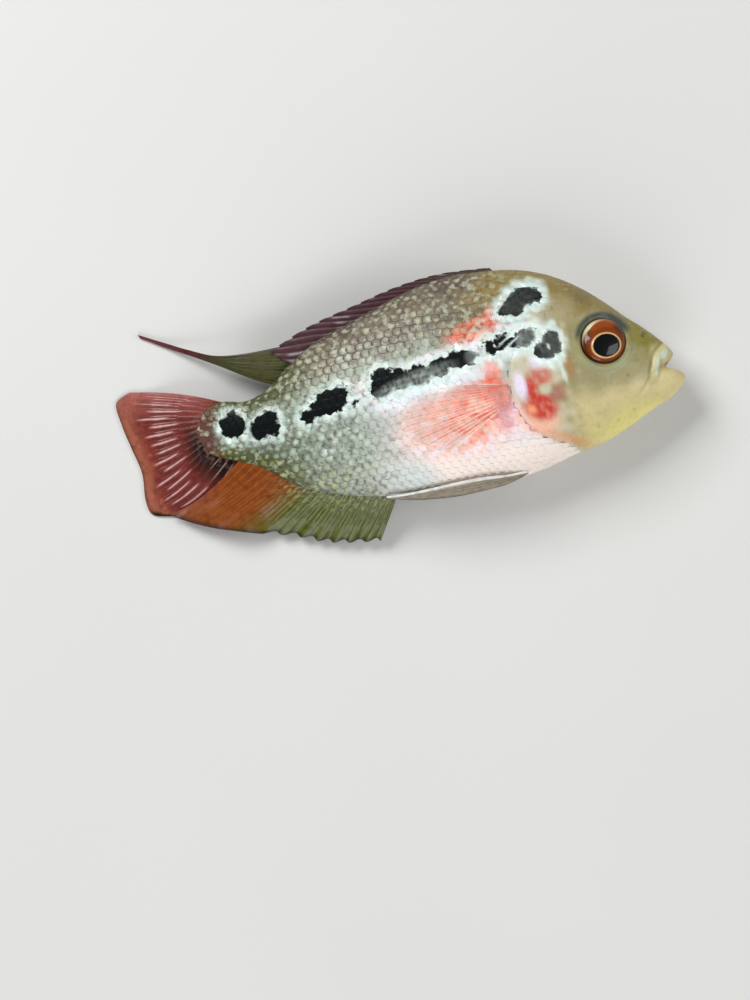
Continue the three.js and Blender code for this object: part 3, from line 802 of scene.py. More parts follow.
SCALE_PITCH = 1.5  # along the flank
SCALE_ROW = 1.36  # across the flank
SCALE_LONG = 2.35  # with the root, which the scales before it hide
SCALE_HALF = 0.93  # half of its breadth
PLATE_S, PLATE_T = 6, 6  # facets of a scale along and across
SCALE_ON_MAP = 0.003  # a scale's size on the map


def scale_columns():
    """Places along the fish for columns of scales, closer on the nape and the stalk."""
    x, places = -33.6, []
    while x < 34.5:
        places.append(x)
        x += SCALE_PITCH * (0.78 + 0.22 * smooth(-34, -22, x)) * (1 - 0.45 * smooth(16, 30, x))
    return places


def scale_rows():
    """Arc lengths of the rows, closer towards the back and the belly."""
    rows = [0.0]
    for way in (1, -1):
        arc = 0.0
        while abs(arc) < 24:
            arc += way * SCALE_ROW * (1 - 0.25 * smooth(9, 19, abs(arc)))
            rows.append(arc)
    return sorted(rows)


def behind_gills(x, y):
    """True where scales grow: behind the gill opening, and on the nape above it."""
    nape = (y > 4.5 + 0.75 * (x - 21)) & (x < 34)
    return (ahead_of(x, y, GILL_OPENING)[0] < -0.3) | nape


def scale_roots(draw, side):
    """The scales of a side: x, arc, angle, how much they shrink to the tail, and their middles."""
    roots = []
    for x in scale_columns():
        step = SCALE_PITCH * (1 - 0.45 * float(smooth(16, 30, x)))
        shrink = 0.78 + 0.22 * float(smooth(-34, -20, x))
        for j, arc in enumerate(scale_rows()):
            roots.append((x + (j % 2) * 0.5 * step, arc * shrink, shrink))
    x, arc, shrink = np.array(roots).T
    x = x + draw.normal(0, 0.05, len(x))
    arc = arc + draw.normal(0, 0.04, len(arc))
    angle = angle_from_arc(x, arc)
    centre, _ = surface(x, angle, side)
    inside = (angle > 0.03) & (angle < math.pi - 0.03) & (x > -34.2)
    keep = inside & behind_gills(centre[:, 0], centre[:, 1]) & (centre[:, 2] > 0.1)
    return x[keep], arc[keep], angle[keep], shrink[keep], centre[keep]


def plate_faces(count, border, side):
    """Faces of closed plates: a grid on top, walls from its border down, and one face below."""
    top = (PLATE_S + 1) * (PLATE_T + 1)
    ring = np.arange(len(border))
    walls = np.stack([border, top + ring, top + (ring + 1) % len(border), np.roll(border, -1)], 1)
    quads = np.concatenate([np.array(grid_faces(PLATE_S + 1, PLATE_T + 1)), walls])
    base = (top + ring)[::-1]
    if side < 0:
        quads, base = quads[:, ::-1], base[::-1]
    else:
        quads = np.roll(quads, -1, axis=1)  # both sides part their facets along the same diagonal
    first = np.arange(count) * (top + len(border))
    return (first[:, None, None] + quads).reshape(-1, 4).tolist() + (first[:, None] + base).tolist()


def make_scales(side_name, side, seed):
    draw = np.random.default_rng(seed)
    x0, arc0, angle0, shrink, centre = scale_roots(draw, side)
    count = len(x0)
    size = (1 - 0.42 * smooth(14, 30, x0)) * shrink * (1 - 0.22 * smooth(9, 19, np.abs(arc0)))
    # a plate: s runs from the hidden root to the free edge, and t across
    s, t = np.meshgrid(np.linspace(0, 1, PLATE_S + 1), np.linspace(-1, 1, PLATE_T + 1), indexing="ij")
    rounded = np.sqrt(np.clip(1 - (np.clip(s - 0.42, 0, 1) / 0.6) ** 2, 0.02, 1))
    local_x = -(s - 0.5) * SCALE_LONG
    local_y = t * SCALE_HALF * rounded * (0.72 + 0.28 * smooth(0, 0.4, s))
    height = 0.012 + 0.034 * s - 0.01 * t**2 * s - 0.01 * smooth(0.85, 1.0, s)
    belly = smooth(-0.4, -0.7, flank_height(x0, centre[:, 1])) * smooth(-6, 6, x0)
    calm = np.maximum(belly, np.maximum(smooth(12, 24, x0) * 0.8, smooth(-31, -34, x0)))
    lift = (draw.normal(1.0, 0.1, count) * (1 - 0.6 * calm))[:, None, None]
    turn = draw.normal(0, 0.03, count)[:, None, None]
    size = size[:, None, None]
    x = x0[:, None, None] + local_x * size + local_y * turn
    arc = arc0[:, None, None] + local_y * size - local_x * turn
    here, normal = surface(x, angle_from_arc(x, arc), side)
    tube = 0.05 * bump(lateral_distance(here[..., 0], here[..., 1]), 0.34)
    top = flat_on_floor(here + normal * (height * lift + tube - COAT + 0.01)[..., None])
    # the closed plate: its top, and a copy of its border sunk under the skin
    border = grid_border(PLATE_S + 1, PLATE_T + 1)
    sunk = (here - normal * (COAT + 0.1)).reshape(count, -1, 3)[:, border]
    plates = np.concatenate([top.reshape(count, -1, 3), flat_on_floor(sunk, 0.01)], 1)
    name = "scales_" + side_name
    faces = plate_faces(count, border, side)
    piece = make_object(name, plates.reshape(-1, 3), faces, skin_material(name, coat=True))
    # markings lie at each vertex, drawn a little towards the scale's middle so that edges follow the scales
    per_plate = plates.shape[1]
    x, y = plates.reshape(-1, 3)[:, :2].T
    own = np.repeat(centre, per_plate, axis=0)
    tone = np.repeat(1 + np.clip(draw.normal(0, 0.075, count), -0.2, 0.2) * (1 - calm), per_plate)
    ground = ground_colour(0.82 * x + 0.18 * own[:, 0], 0.82 * y + 0.18 * own[:, 1]) * tone[:, None]
    jitter = np.repeat(draw.normal(0, 0.1, count), per_plate)
    black = 0.7 * black_field(x, y) + 0.3 * black_field(own[:, 0], own[:, 1]) + jitter
    add_markings(piece, x, y, ground, black)
    add_pearls(piece, own, count, per_plate, border, s, t, draw)
    root = np.stack([place_of(centre[:, 0]) / LAST_RING, (angle0 * side) / (2 * math.pi) % 1], 1)
    spot = np.stack([s - 0.5, t / 2], -1).reshape(-1, 2)
    spot = np.tile(np.concatenate([spot, spot[border]]), (count, 1))
    uv = np.repeat(root, per_plate, axis=0) * MAP_SHARE + MAP_MARGIN + spot * SCALE_ON_MAP
    add_map(piece, uv[corner_vertices(piece.data)])


def add_pearls(piece, own, count, per_plate, border, s, t, draw):
    """A pale dot on each scale and a dark line round its free edge."""
    shift_s = draw.normal(0.62, 0.1, count)[:, None, None]
    shift_t = draw.normal(0.0, 0.25, count)[:, None, None]
    wide = np.clip(draw.normal(0.95, 0.3, count), 0.5, 1.6)[:, None, None]
    dot = bump(np.hypot((s - shift_s) / (0.17 * wide), (t - shift_t) / (0.42 * wide)), 1.0)
    dot = dot.reshape(count, -1)
    dot = np.concatenate([dot, dot[:, border] * 0], 1).ravel()
    edge = smooth(0.7, 1.0, np.maximum(s, np.abs(t) * 0.95)).ravel()
    edge = np.tile(np.concatenate([edge, edge[border]]), count)
    x, y = own[:, 0], own[:, 1]
    height = flank_height(x, y)
    strong = np.maximum(smooth(0.25, 0.5, height) * smooth(20, 12, x), smooth(2, -12, x))
    plain = np.maximum(smooth(-0.45, -0.7, height) * smooth(-4, 6, x), smooth(12, 20, x))
    lit = np.repeat(np.clip(draw.normal(0.75, 0.42, count), 0.0, 1.3), per_plate)
    lit = lit * np.clip(smooth(-33.5, -30.0, x), 0.15, 1)
    add_values(piece, "pearl", np.clip(dot * (0.35 + 0.4 * strong) * (1 - 0.75 * plain) * lit, 0, 1))
    marked = smooth(-2.4, -1.2, black_field(x, y))
    add_values(piece, "rim", edge * (0.08 + 0.3 * strong) * (1 - 0.8 * plain) * (1 - 0.8 * marked))
    dots = mix(flood(x, PEARL_TAN), PEARL_BLUE, smooth(0.35, 0.0, height))
    dots = mix(dots, PEARL_YELLOW, smooth(-0.55, -0.8, height) * smooth(4, -10, x))
    dots = mix(dots, PEARL_WHITE, plain)
    green = np.repeat(draw.uniform(0, 1, count), per_plate)
    add_colours(piece, "pearl_colour", mix(dots, PEARL_GREEN, 0.5 * smooth(0.6, 1.0, green)))


# Fins
FIN_EDGE = 0.05  # half thickness of a fin's membrane at its margin


RAY_SPLITS = (0.42, 0.7)  # shares of its length at which a ray branches in two


def ray_profile(s, t, rays):
    """How near each place is to a ray, 0 to 1."""
    cell = (s * rays) % 1 - 0.5
    near, offsets = 0.0, [0.0]
    for k, start in enumerate((0.0, *RAY_SPLITS)):
        stage = np.max([bump(cell - offset, 0.12 / (k + 1) ** 0.6) for offset in offsets], axis=0)
        begun = smooth(start - 0.04, start + 0.04, t) if k else 1.0
        near = near * (1 - begun) + stage * begun
        reach = 0.22 / (k + 1)
        offsets = [offset + way * reach for offset in offsets for way in (-1, 1)]
    return near


def fin_piece(name, material, place, normal, counts, thickness, look, replaced):
    """A closed sheet. The three functions of s, from front to rear, and t, from root to margin, give
    its middle surface, half its depth, and its colour with how solid it is. The normal may be one too."""
    s, t = np.meshgrid(*(np.linspace(0, 1, count) for count in counts), indexing="ij")
    middle = place(s, t)
    out = normal(s, t) if callable(normal) else np.broadcast_to(np.array(normal, float), middle.shape)
    half = thickness(s, t)[..., None]
    front, back = middle + out * half, middle - out * half
    vertices = flat_on_floor(np.concatenate([front.reshape(-1, 3), back.reshape(-1, 3)]))
    faces, border = np.array(grid_faces(*counts)), grid_border(*counts)
    after = np.roll(border, -1)
    walls = np.stack([border, border + s.size, after + s.size, after], 1)
    quads = np.concatenate([faces, faces[:, ::-1] + s.size, walls])
    sample = faces[len(faces) // 2]
    a, b, c = vertices[sample[:3]]
    if np.dot(np.cross(b - a, c - a), out.reshape(-1, 3)[sample[0]]) < 0:
        quads = quads[:, ::-1]
    piece = make_object(name, vertices, quads.tolist(), material)
    colour, solid = look(s, t)
    add_colours(piece, "ground", np.concatenate([colour.reshape(-1, 3)] * 2))
    add_values(piece, "solid", np.tile(solid.ravel(), 2))
    both = [np.stack([s, start + t * 0.48], -1).reshape(-1, 2) for start in (0, 0.52)]
    uv = np.concatenate(both) * 0.98 + 0.01
    add_map(piece, uv[corner_vertices(piece.data)])
    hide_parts(replaced)


def fin_material(name, clear, solid, roughness=0.3):
    """Wet membrane: colour from the piece, thinner and clearer between the rays."""
    material, tree, shader = new_material(name)
    colour = attribute(tree, "ground", True)
    fine = noise(tree, 900, 3)
    dark = blend_colours(tree, 1.0, colour, rgba((0.68, 0.66, 0.64)), "MULTIPLY")
    mottled = blend_colours(tree, ramp(tree, fine, 0.42, 0.75), colour, dark)
    tree.links.new(mottled, shader.inputs["Base Color"])
    tree.links.new(span(tree, attribute(tree, "solid"), clear, solid), shader.inputs["Alpha"])
    shader.inputs["Roughness"].default_value = roughness
    shader.inputs["Specular IOR Level"].default_value = 0.26
    shader.inputs["Coat Weight"].default_value = 0.08
    shader.inputs["Coat Roughness"].default_value = 0.15
    bump_to(tree, shader, noise(tree, 1800, 3), 0.00003, 0.5)
    return material


def spread(root, margin, s, t):
    """Places between the root and the margin of a fin."""
    a, b = along(root, s), along(margin, s)
    return a + (b - a) * t[..., None]


def raised(xy, z):
    """Places on the side of the fish, set at heights over the floor."""
    return np.concatenate([xy, z[..., None]], -1)


TAIL_ROOT = [(-29.6, 3.4), (-33.0, 1.8), (-34.2, -1.1), (-33.2, -4.0), (-28.8, -6.4)]
TAIL_MARGIN = [
    (-45.6, 8.1), (-48.2, 6.6), (-47.9, 2.8), (-46.9, -1.6),
    (-45.9, -6.0), (-46.1, -10.6), (-45.3, -13.2), (-42.4, -14.0),
]
TAIL_RAYS = 17
TAIL_FLOOR_FROM = -43.5
FIN_MIDDLE = 0.3  # of a fin lying on the floor


def tail_height(x):
    return FIN_MIDDLE + (2.9 - FIN_MIDDLE) * smooth(TAIL_FLOOR_FROM, -33, x)


def tail_look(s, t):
    ray = ray_profile(s, t, TAIL_RAYS)
    deep = smooth(0.5, 0.2, t) * smooth(0.15, 0.6, s)
    c = mix(flood(s, linear(116, 46, 38)), linear(20, 4, 4), deep)
    c = mix(c, linear(150, 86, 66), smooth(0.78, 0.95, t))
    c = mix(c, linear(96, 60, 40), smooth(0.95, 1.0, t) * 0.8)
    c = mix(c, linear(166, 98, 92), smooth(0.34, 0.0, s) * smooth(0.1, 0.5, t) * 0.75)
    # painted highlights: pale streaks between the rays, with the rays between them painted darker
    start = t + 0.06 * np.sin(np.floor(s * TAIL_RAYS) * 2.7)
    streak = smooth(0.42, 0.5, start) * smooth(0.8, 0.7, start)
    streak = streak * smooth(0.08, 0.2, s) * smooth(0.97, 0.9, s)
    gap = bump((s * TAIL_RAYS) % 1 - 0.5, 0.1)
    c = mix(c, linear(240, 196, 196), streak * gap * 0.72)
    c = mix(c, linear(70, 20, 24), streak * (1 - gap) * 0.35)
    speck = smooth(0.3, 1.2, waves(s * 34, t * 20, 2.0, 71)) * smooth(0.76, 0.84, t) * smooth(0.96, 0.88, t)
    c = mix(c, linear(190, 112, 92), speck * 0.35)
    c = mix(c, linear(30, 16, 14), smooth(0.8, 0.88, s) * smooth(0.9, 0.97, t))
    scaly = smooth(0.3, 0.14, t) * smooth(-0.1, 0.5, waves(s * 26, t * 40, 2.0, 73))
    c = mix(c, linear(128, 90, 72), scaly * 0.5)
    return c, np.clip(0.8 + 0.2 * ray + 0.3 * streak + smooth(0.3, 0.1, t), 0, 1)


def make_tail_fin():
    def place(s, t):
        inner = -0.12 + 1.12 * t
        xy = spread(TAIL_ROOT, TAIL_MARGIN, s, inner)
        xy[..., 1] += (0.7 * (1 - s) ** 4 - 2.5 * s**4) * np.sin(math.pi * inner)
        ripple = 0.1 * np.sin(s * 23) * smooth(0.3, 1, t) * smooth(TAIL_FLOOR_FROM - 3, -38, xy[..., 0])
        return raised(xy, tail_height(xy[..., 0]) + ripple)

    def thickness(s, t):
        ridges = ray_profile(s, t, TAIL_RAYS) * smooth(1.0, 0.5, t)
        return FIN_EDGE + 0.3 * smooth(0.2, 0.0, t) + 0.13 * ridges

    fin_piece(
        "tail_fin", fin_material("tail_fin", 0.55, 1.0), place, (0, 0, 1), (TAIL_RAYS * 12 + 1, 90),
        thickness, tail_look, "caudal_fin",
    )


ANAL_ROOT = [(-3.2, -16.8), (-9.6, -15.6), (-16.0, -13.5), (-22.4, -10.2), (-28.6, -6.2)]
ANAL_MARGIN = [
    (-7.6, -24.4), (-12.4, -23.9), (-17.2, -22.9), (-22.2, -21.0),
    (-28.5, -19.4), (-35.0, -17.4), (-39.6, -15.4), (-42.3, -13.9),
]
ANAL_RAYS = 22
ANAL_SPINES = 7
ANAL_SPINY_SHARE = 0.55


def anal_look(s, t):
    ray = ray_profile(s, t, ANAL_RAYS)
    c = mix(flood(s, linear(68, 77, 14)), linear(122, 58, 14), smooth(0.5, 0.72, s))
    c = mix(c, linear(128, 62, 50), smooth(0.85, 1.0, s) * smooth(0.3, 0.8, t))
    c = mix(c, linear(128, 132, 70), ray * smooth(0.75, 0.4, s) * 0.5)
    c = mix(c, linear(150, 92, 50), ray * smooth(0.5, 0.8, s) * 0.5)
    c = mix(c, linear(40, 32, 26), smooth(0.9, 1.0, t) * 0.85)
    speck = smooth(0.35, 0.8, waves(s * 70, t * 26, 2.6, 61)) * smooth(0.8, 0.2, t)
    c = mix(c, linear(158, 156, 78), speck * 0.4 * smooth(0.85, 0.5, s))
    scaly = smooth(0.5, 0.1, t) * smooth(-0.1, 0.6, waves(s * 62, t * 22, 1.8, 63)) * smooth(0.85, 0.5, s)
    c = mix(c, linear(160, 168, 130), scaly * 0.5)
    ends = smooth(0.4, 0.1, t) + smooth(0.9, 1, t)
    return c, np.clip(0.6 + 0.4 * ray + 0.4 * smooth(0.35, 0.6, s) + ends, 0, 1)


def make_anal_fin():
    def height(x, s, t):
        root = mid_height(along(ANAL_ROOT, s)[..., 0])
        margin = 2.4 + (1.3 - 2.4) * s
        plain = root + (margin - root) * np.clip(t, 0, 1)
        over_tail = np.maximum(plain, tail_height(x) + 0.6)
        return plain + (over_tail - plain) * smooth(-25.5, -31.0, x)

    def place(s, t):
        inner = -0.1 + 1.1 * t
        spiny = 0.5 - 0.5 * np.cos(s / ANAL_SPINY_SHARE * ANAL_SPINES * 2 * math.pi)
        notch = np.where(s < ANAL_SPINY_SHARE, 0.07 * spiny, 0) * smooth(0.5, 1, t)
        xy = spread(ANAL_ROOT, ANAL_MARGIN, s, inner * (1 - notch))
        xy[..., 1] -= 1.1 * s**6 * np.sin(math.pi * np.clip(inner, 0, 1))
        return raised(xy, height(xy[..., 0], s, inner) + 0.12 * np.sin(s * 40) * smooth(0.2, 0.8, t))

    def thickness(s, t):
        ridges = ray_profile(s, t, ANAL_RAYS) * smooth(1.0, 0.6, t) * smooth(0.75, 0.45, s)
        return FIN_EDGE + 0.3 * smooth(0.25, 0.0, t) + 0.12 * ridges

    fin_piece(
        "anal_fin", fin_material("anal_fin", 0.7, 1.0), place, (0, 0, 1), (ANAL_RAYS * 11 + 1, 64),
        thickness, anal_look, "anal_fin",
    )


DORSAL_ROOT = [(19.6, 16.9), (12.0, 17.2), (4.0, 15.9), (-4.0, 13.4), (-11.0, 10.9), (-17.0, 7.4)]
DORSAL_MARGIN = [(18.6, 18.2), (10.0, 18.6), (2.4, 17.7), (-5.4, 15.8), (-13.4, 13.7), (-20.6, 10.7)]
DORSAL_SPINES = 16
SPINE_SLANT = 0.19  # how far back a folded spine's tip lies, as a share of the fin
SOFT_MIDDLE = [(-16.6, 6.9), (-24.0, 8.5), (-29.6, 10.6), (-34.0, 12.8), (-38.2, 15.0), (-42.4, 17.3)]
SOFT_HALF = [4.3, 2.6, 1.05, 0.62, 0.5, 0.3]
SOFT_RAYS = 9


def make_spiny_dorsal(material):
    def lie(s, t):
        """Where a place is between two spines, which lie back along the body."""
        return ((s - SPINE_SLANT * t) * DORSAL_SPINES) % 1 - 0.5

    def place(s, t):
        notch = 0.07 * smooth(0.1, -0.5, lie(s, t)) * smooth(0.5, 1, t)
        xy = spread(DORSAL_ROOT, DORSAL_MARGIN, s, (-0.2 + 1.2 * t) * (1 - notch))
        step = 0.1 * lie(s, t) * smooth(0, 0.4, t) * smooth(-0.5, -0.3, lie(s, t))
        return raised(xy, mid_height(xy[..., 0]) + step)

    def thickness(s, t):
        return 0.08 + 0.05 * bump(lie(s, t), 0.24) * smooth(1.05, 0.8, t) + 0.2 * smooth(0.4, 0.0, t)

    def look(s, t):
        spine = bump(lie(s, t), 0.17)
        c = mix(flood(s, linear(70, 40, 46)), linear(88, 58, 62), spine * 0.5)
        c = mix(c, linear(84, 78, 66), smooth(0.45, 0.1, s) * 0.7)
        glint = smooth(0.5, 1.1, waves(s * 40, t * 6, 7.0, 51)) * spine
        c = mix(c, linear(190, 180, 184), glint * 0.55)
        return mix(c, linear(34, 20, 26), smooth(0.85, 1.0, t) * 0.7), np.ones(s.shape)

    fin_piece(
        "dorsal_fin_spiny", material, place, (0, 0, 1), (DORSAL_SPINES * 20 + 1, 28), thickness, look,
        "dorsal_fin",
    )


def make_soft_dorsal(material):
    """The rear of the dorsal fin, folded to a narrow strip that sinks to the floor."""

    def place(s, t):
        xy = along(SOFT_MIDDLE, t)
        reach = along(np.array(SOFT_HALF)[:, None], t)[..., 0] * (1 - 2 * s)
        xy = xy + np.stack([-0.35 * reach, reach], -1)
        root = mid_height(-19.0)
        z = root + (FIN_MIDDLE - root) * smooth(0, 1, t * 1.1) - 0.4 * smooth(0.4, 0.1, t)
        return raised(xy, z + 0.14 * np.sin(s * 18 + t * 6) * smooth(0.5, 0.2, t))

    def thickness(s, t):
        ray = bump((s * SOFT_RAYS) % 1 - 0.5, 0.22)
        return 0.06 + 0.12 * ray * smooth(1, 0.4, t) + 0.1 * smooth(0.4, 0.8, t)

    def look(s, t):
        ray = bump((s * SOFT_RAYS) % 1 - 0.5, 0.2)
        c = mix(flood(s, linear(60, 66, 14)), linear(70, 62, 30), ray)
        c = mix(c, linear(94, 40, 40), smooth(0.4, 0.6, t))
        c = mix(c, linear(64, 44, 34), smooth(0.1, 0.0, np.minimum(s, 1 - s)) * 0.8)
        return c, np.clip(0.75 + 0.25 * ray + smooth(0.35, 0.6, t) + smooth(0.2, 0.0, t), 0, 1)

    fin_piece(
        "dorsal_fin_soft", material, place, (0, 0, 1), (SOFT_RAYS * 10 + 1, 90), thickness, look,
        "dorsal_fin",
    )


PECTORAL_ROOT = [(18.0, -2.0), (18.2, -3.4), (17.8, -5.2)]
PECTORAL_MARGIN = [(9.6, -0.4), (4.0, -1.2), (0.4, -3.0), (-0.4, -5.8), (2.0, -9.0), (7.4, -11.2)]
PRESSED_ROOT = [(17.4, -2.0), (17.6, -3.2), (17.4, -4.6)]
PRESSED_MARGIN = [(9.4, 0.6), (4.4, -1.6), (1.4, -4.6), (2.0, -8.0), (6.0, -10.4)]


PECTORAL_RAYS = 13
PECTORAL_LIFT = 0.4  # off the flank


def pectoral_look(s, t):
    ray = ray_profile(s, t, PECTORAL_RAYS)
    # near-white along the rays and the edges: the rays' own pale colour with painted highlights on them
    c = mix(flood(s, linear(236, 190, 172)), linear(250, 240, 236), ray)
    c = mix(c, linear(250, 240, 232), smooth(0.05, 0.0, np.minimum(s, 1 - s)))
    c = mix(c, linear(242, 150, 126), smooth(0.3, 0.1, t) * 0.7)
    return c, np.clip(ray * 0.75 + smooth(0.16, 0.0, t) + smooth(0.06, 0.0, s), 0, 1)


def pectoral_thickness(s, t):
    return 0.05 + 0.11 * ray_profile(s, t, PECTORAL_RAYS) * smooth(1.05, 0.6, t) + 0.2 * smooth(0.15, 0, t)


def make_pectoral_fins():
    def flank(s, t):
        x, y = np.moveaxis(spread(PECTORAL_ROOT, PECTORAL_MARGIN, s, t), -1, 0)
        return surface(x, angle_at(x, y), 1.0)

    def place(s, t):
        here, normal = flank(s, t)
        lift = PECTORAL_LIFT * smooth(-0.1, 0.35, t) + 0.12 * np.sin(s * 21) * t
        return here + normal * lift[..., None]

    def pressed(s, t):
        return raised(spread(PRESSED_ROOT, PRESSED_MARGIN, s, t), np.full(s.shape, 0.25))

    material = fin_material("pectoral_fin", 0.04, 0.6, 0.2)
    fin_piece(
        "pectoral_fin_right", material, place, lambda s, t: flank(s, t)[1], (PECTORAL_RAYS * 12 + 1, 72),
        pectoral_thickness, pectoral_look, "pectoral_fin_right",
    )
    fin_piece(
        "pectoral_fin_left", material, pressed, (0, 0, -1), (PECTORAL_RAYS * 8 + 1, 48),
        pectoral_thickness, pectoral_look, "pectoral_fin_left",
    )


PELVIC_ROOT = 19.0
PELVIC_RAYS = 6
PELVIC_BREADTH = 22  # degrees around the belly


def make_pelvic_fin(name, side, tip_x, root_angle, tip_angle):
    """A pointed blade folded along the belly. Its angles are degrees from the back."""

    def flank(s, t):
        blade = np.sin(math.pi * np.clip(t**0.82, 0, 1)) ** 1.05
        centre = root_angle + (tip_angle - root_angle) * t
        angle = np.radians(centre + (s - 0.5) * PELVIC_BREADTH * (0.08 + 0.92 * blade))
        return surface(PELVIC_ROOT + (tip_x - PELVIC_ROOT) * t, angle, side)

    def place(s, t):
        here, normal = flank(s, t)
        return here + normal * (0.75 * smooth(-0.05, 0.2, t) + 0.1 * np.sin(s * 14) * t)[..., None]

    def thickness(s, t):
        edge = smooth(0.12, 0.0, s) + smooth(0.12, 0.0, 1 - s)
        return 0.07 + 0.12 * ray_profile(s, t, PELVIC_RAYS) + 0.06 * edge + 0.15 * smooth(0.12, 0, t)

    def look(s, t):
        ray = ray_profile(s, t, PELVIC_RAYS)
        c = mix(flood(s, linear(148, 137, 116)), linear(190, 180, 162), ray * 0.6)
        c = mix(c, linear(236, 234, 230), smooth(0.22, 0.02, s))
        return mix(c, linear(92, 76, 66), smooth(0.78, 1.0, s) * 0.8), np.clip(0.6 + 0.4 * ray, 0, 1)

    fin_piece(
        name, fin_material(name, 0.4, 1.0), place, lambda s, t: flank(s, t)[1], (PELVIC_RAYS * 10 + 1, 80),
        thickness, look, name,
    )


# Eyes
EYE_LEAN = 0.75  # the share by which the eye turns with the side of the head
EYE_ROWS, EYE_COLUMNS = 90, 128
EYE_GAP = 0.06  # by which the eye lies inside its solid
PUPIL_X, PUPIL_Y = 0.3, -0.8  # from the middle of the eye
PUPIL_LONG, PUPIL_HIGH = 2.3, 1.95
CRESCENT_TURN = 128  # degrees at which light catches the rim
PUPIL = linear(4, 5, 8)
EYE_BACK = linear(60, 56, 48)


def eye_material():
    """Iris and pupil by distance from the eye's axis."""
    material, tree, shader = new_material("eye")
    tree.links.new(attribute(tree, "ground", True), shader.inputs["Base Color"])
    shader.inputs["Roughness"].default_value = 0.4
    shader.inputs["Specular IOR Level"].default_value = 0.1
    shader.inputs["Coat Weight"].default_value = 0.45
    shader.inputs["Coat Roughness"].default_value = 0.03
    bump_to(tree, shader, noise(tree, 3000, 2), 0.00002, 0.4)
    return material


def head_height(x, y):
    """The height of the head's right side at a place."""
    return float(ring_point(place_of(x), angle_at(x, y))[2])


def eye_centre(side):
    middle = float(mid_height(EYE["x"]))
    out = head_height(EYE["x"], EYE["y"]) - middle
    return np.array([EYE["x"], EYE["y"], middle + side * (out + EYE["proud"] - EYE["depth"])])


def eye_slope():
    """How the side of the head rises along x and along y where the eye is."""
    x, y, reach = EYE["x"], EYE["y"], 3.0
    along_x = head_height(x + reach, y) - head_height(x - reach, y)
    along_y = head_height(x, y + reach) - head_height(x, y - reach)
    return along_x / (2 * reach), along_y / (2 * reach)


def eye_colour(x, y, across):
    """The iris, the pupil and a painted highlight as a pale crescent on the rim, from how far a place is
    across the pupil.
    """
    out = np.hypot(x, y)
    c = mix(flood(x, linear(146, 70, 24)), linear(84, 32, 6), smooth(1.75, 1.2, across))
    c = mix(c, linear(58, 26, 10), smooth(2.5, 3.4, out) * smooth(1.5, -1.0, y - x))
    c = mix(c, linear(64, 28, 4), 0.85 * smooth(-1.2, -2.6, x) * smooth(3.0, 1.4, y))
    c = mix(c, linear(150, 66, 14), 0.6 * bump(across - 1.25, 0.2) * smooth(1.0, -1.5, y))
    c = mix(c, linear(158, 70, 16), 0.5 * bump(across - 1.3, 0.16) * smooth(-1.5, 1.0, y))
    fibres = 0.5 + 0.5 * np.sin(np.arctan2(y - PUPIL_Y, x - PUPIL_X) * 46 + 3 * np.sin(across * 5))
    c = mix(c, linear(70, 24, 6), fibres * 0.3 * smooth(1.05, 1.3, across))
    # painted highlight: a pale crescent on the upper rear rim, where light catches the eye
    away = np.angle(np.exp(1j * (np.arctan2(y, x) - math.radians(CRESCENT_TURN))))
    rim_highlight = smooth(2.95, 3.2, out - 0.5 * np.abs(away)) * smooth(3.85, 3.65, out)
    c = mix(c, linear(220, 212, 168), rim_highlight * bump(away, 0.66))
    c = mix(c, linear(226, 186, 128), bump(across - 1.06, 0.07))
    c = mix(c, PUPIL, smooth(1.02, 0.98, across))
    return mix(c, linear(46, 48, 40), smooth(3.7, 3.9, out))


def make_eye(name, side, material):
    tilt = np.linspace(0, math.pi, EYE_ROWS + 2)[1:-1]
    turn = np.arange(EYE_COLUMNS) * 2 * math.pi / EYE_COLUMNS
    t, a = np.meshgrid(tilt, turn, indexing="ij")
    radius, depth = EYE["radius"] - EYE_GAP, EYE["depth"] - EYE_GAP
    flat = np.sin(t)
    x, y = radius * flat * np.cos(a), radius * flat * np.sin(a)
    bulge = np.where(t < math.pi / 2, 2.7, 2.0)
    z = np.sign(np.cos(t)) * depth * (1 - flat**bulge) ** (1 / bulge)
    # the iris dishes in a little round a domed pupil
    across = np.hypot((x - PUPIL_X) / PUPIL_LONG, (y - PUPIL_Y) / PUPIL_HIGH)
    front = z > 0
    z = z - np.where(front, 0.14 * smooth(0.98, 1.1, across) * smooth(3.6, 2.6, np.hypot(x, y)), 0)
    slope_x, slope_y = eye_slope()
    z = z + EYE_LEAN * (slope_x * x + slope_y * y)
    c = np.where(front[..., None], eye_colour(x, y, across), EYE_BACK)
    points = np.stack([x, y, z * side], -1) + eye_centre(side)
    poles = eye_centre(side) + np.array([[0, 0, depth * side], [0, 0, -depth * side]])
    faces = closed_faces(EYE_ROWS, EYE_COLUMNS)
    if side > 0:
        faces = [face[::-1] for face in faces]
    piece = make_object(name, np.concatenate([points.reshape(-1, 3), poles]), faces, material)
    add_colours(piece, "ground", np.concatenate([c.reshape(-1, 3), [PUPIL, EYE_BACK]]))
    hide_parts(name)


# Floor, light and camera
FLOOR_HALF = 2.5


def make_stage():
    corners = [(x * FLOOR_HALF, y * FLOOR_HALF, 0) for x, y in ((-1, -1), (1, -1), (1, 1), (-1, 1))]
    mesh = bpy.data.meshes.new("floor")
    mesh.from_pydata(corners, [], [(0, 1, 2, 3)])
    floor = bpy.data.objects.new("floor", mesh)
    bpy.context.scene.collection.objects.link(floor)
    material, tree, shader = new_material("floor")
    tone = blend_colours(tree, noise(tree, 12, 2), rgba(linear(202, 202, 200)), rgba(linear(208, 208, 206)))
    tree.links.new(tone, shader.inputs["Base Color"])
    shader.inputs["Roughness"].default_value = 0.7
    mesh.materials.append(material)


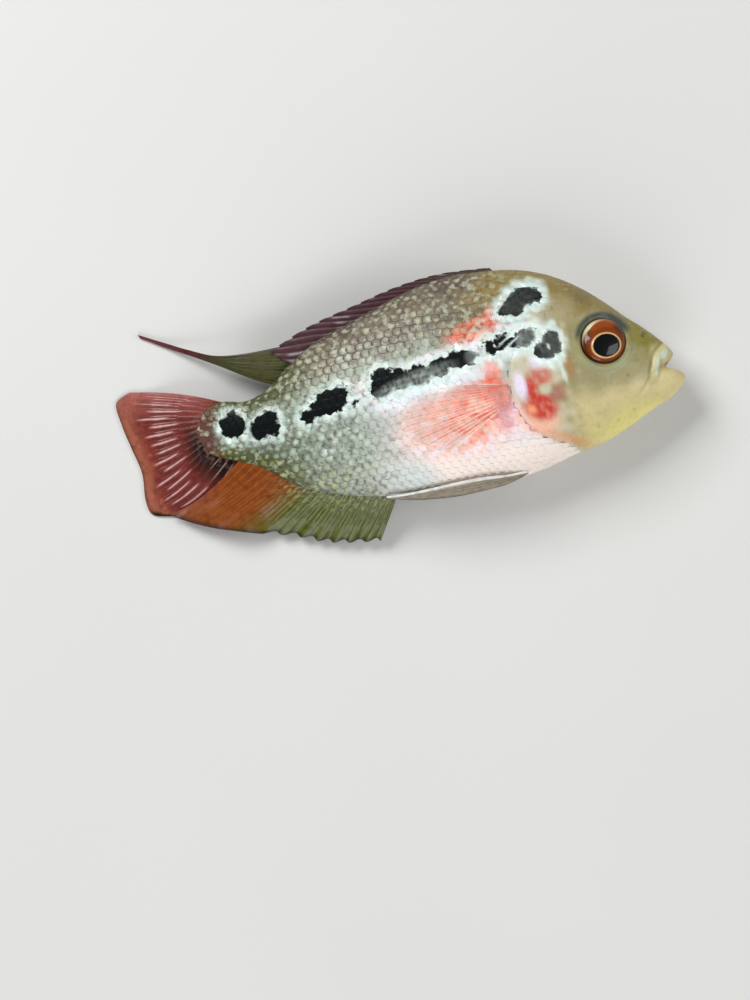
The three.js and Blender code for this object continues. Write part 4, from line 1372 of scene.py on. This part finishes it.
LIGHTS = [  # name, place and breadth in metres, power in watts
    ("key", (-0.25, 0.38, 0.42), 0.3, 3.7),
    ("fill", (0.5, -0.1, 0.35), 0.35, 1.7),
    ("low", (-0.15, -0.5, 0.3), 0.4, 2.0),
]
WORLD_LIGHT = 0.16


def area_light(name, place, breadth, power):
    """A square light that faces the fish."""
    data = bpy.data.lights.new(name, "AREA")
    data.size = breadth
    data.energy = power
    light = bpy.data.objects.new(name, data)
    light.location = place
    light.rotation_euler = (-light.location).to_track_quat("-Z", "Y").to_euler()
    bpy.context.scene.collection.objects.link(light)


def make_light():
    bpy.context.scene.view_settings.view_transform = "Standard"
    for light in LIGHTS:
        area_light(*light)
    world = bpy.data.worlds.new("studio")
    world.use_nodes = True
    background = world.node_tree.nodes["Background"]
    background.inputs["Color"].default_value = (1, 1, 1, 1)
    background.inputs["Strength"].default_value = WORLD_LIGHT
    bpy.context.scene.world = world


PICTURE_HEIGHT = 1000 * 0.17  # pixels, and millimetres to a pixel
PICTURE_CENTRE = (-7.37, -17.34)  # the middle of the photo on the side of the fish
PICTURE_TURN = 10.0  # degrees by which the fish slopes down to the right in the picture
LENS, SENSOR = 180.0, 36.0
TRUNK_MIDDLE = 7.4  # height of the trunk's middle plane


def make_camera():
    data = bpy.data.cameras.new("camera")
    data.lens = LENS
    data.sensor_width = SENSOR
    data.sensor_fit = "VERTICAL"
    data.sensor_height = SENSOR
    data.clip_start = 0.01
    camera = bpy.data.objects.new("camera", data)
    distance = PICTURE_HEIGHT * LENS / SENSOR
    camera.location = (np.array([*PICTURE_CENTRE, TRUNK_MIDDLE + distance]) + SHIFT) * MM
    camera.rotation_euler = (0, 0, -math.radians(PICTURE_TURN))
    bpy.context.scene.collection.objects.link(camera)
    bpy.context.scene.camera = camera


make_camera()
make_light()
make_stage()
make_skin()
make_scales("right", 1.0, 3)
make_scales("left", -1.0, 4)
make_tail_fin()
make_anal_fin()
dorsal = fin_material("dorsal_fin", 0.5, 1.0, 0.45)
make_spiny_dorsal(dorsal)
make_soft_dorsal(dorsal)
make_pectoral_fins()
make_pelvic_fin("pelvic_fin_right", 1.0, -5.2, 163, 166)
make_pelvic_fin("pelvic_fin_left", -1.0, -4.2, 156, 164)
iris = eye_material()
make_eye("eye_right", 1.0, iris)
make_eye("eye_left", -1.0, iris)
